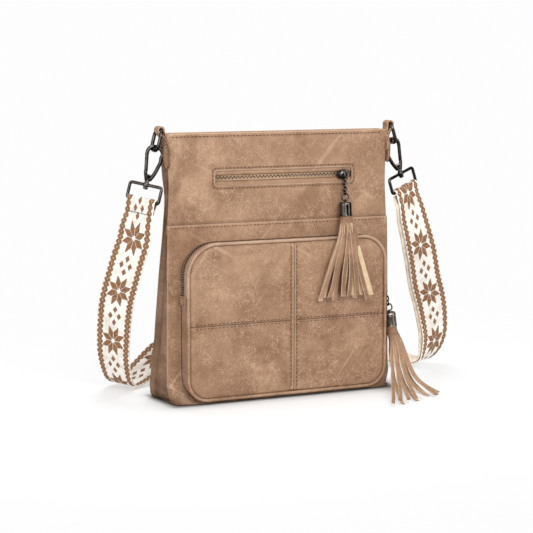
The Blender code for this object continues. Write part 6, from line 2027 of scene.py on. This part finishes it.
# %% Lining and pouch
def wall_loop(z, inset):
    """A closed outline inside the walls at one height: front, one side, back, the other side."""
    front = float(front_line(z)) + LEATHER + GAP + inset
    front = max(front, FRONT_Y + LEATHER + 6.2 * MM + inset) if z > 0.12 else front
    side = float(half_width(z)) - 3.6 * MM - inset
    across = np.linspace(-1, 1, 36)
    behind = back_outer(across, z) - LEATHER - GAP - inset
    v = np.linspace(0, 1, 12)[1:-1]
    edge, y = side - gusset_fold(z) * np.sin(math.pi * v), front + (behind[-1] - front) * v
    loop = [spread(across * side, front), spread(edge, y)]
    loop += [spread(across * side, behind)[::-1], spread(-edge, y)[::-1]]
    return spread(*np.concatenate(loop).T, z)


low = 5.0 * MM
rings = [wall_loop(low, 4.5 * MM)]
rings += [wall_loop(z, 0.5 * MM) for z in np.linspace(low + 3 * MM, HEIGHT - 16 * MM, 34)]
lining = sleeve(np.array(rings))
lining["caps"] = lining["caps"][:1]
piece("lining_bag", lining, lining_cloth, ["lining"])

outline = rounded((WINDOW["left"] + 0.5 * MM, TAPE_Y + 0.8 * MM),
                  (WINDOW["right"] - 0.5 * MM, TAPE_Y + 2.6 * MM), 0.8 * MM, 4)
heights = np.linspace(WINDOW["low"] - 0.0945, WINDOW_Z + 4 * MM, 20)[:, None]
piece("pouch", sleeve(spread(*outline.T, heights)), lining_cloth, ["front_zip_pouch"])

# %% The top zip
TOP_MIDDLE, TOP_Z, TOP_REACH = FRONT_Y + TOP_DEPTH / 2, HEIGHT - 13.5 * MM, TOP_WIDTH / 2 - 14 * MM
x, share = np.linspace(-TOP_REACH, TOP_REACH, 60)[:, None], np.linspace(0, 1, 9)
sag = 0.8 * MM * np.sin(math.pi * share) * (1 + 0.3 * np.sin(x * 70))
walls = {"front": FRONT_Y + 2 * RIM_FOLD + 0.2 * MM,
         "back": back_outer(x / half_width(TOP_Z), TOP_Z) - 2 * RIM_FOLD - 0.3 * MM}
for name, way in (("front", -1), ("back", 1)):
    y = walls[name] + (TOP_MIDDLE + way * 0.4 * MM - walls[name]) * share + 0 * x
    piece("top_tape_" + name, grid(spread(x, y, TOP_Z - sag), spread(x, y)), tape_cloth,
          ["top_zip_tape_" + name], facing=UP, thick=0.6 * MM)
ends = spread([2 * MM - TOP_REACH, TOP_REACH - 2 * MM], TOP_MIDDLE, TOP_Z)
teeth("top_teeth", resampled(ends, 2 * MM), UP, 1.9 * MM, 2.2 * MM)

# %% [markdown]
# One row of stitches holds the strap's sewn end. Then the bounds of what is seen are worked out.

# %% The strap's seam
SEAM_RUN = 0.047  # along the band from its sewn end
at = np.searchsorted(run_length(strap_middles), SEAM_RUN)
spots = (strap_middles[at] + strap_face[at] * (STRAP_THICK / 2)
         + strap_across[at] * np.arange(-16, 16.1, 2)[:, None] * MM)
stitches("strap_stitches", [sewn(spots, strap_face[at], 2.5 * MM, False, 2.4 * MM)])

# %% Sizes and finish
low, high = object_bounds()
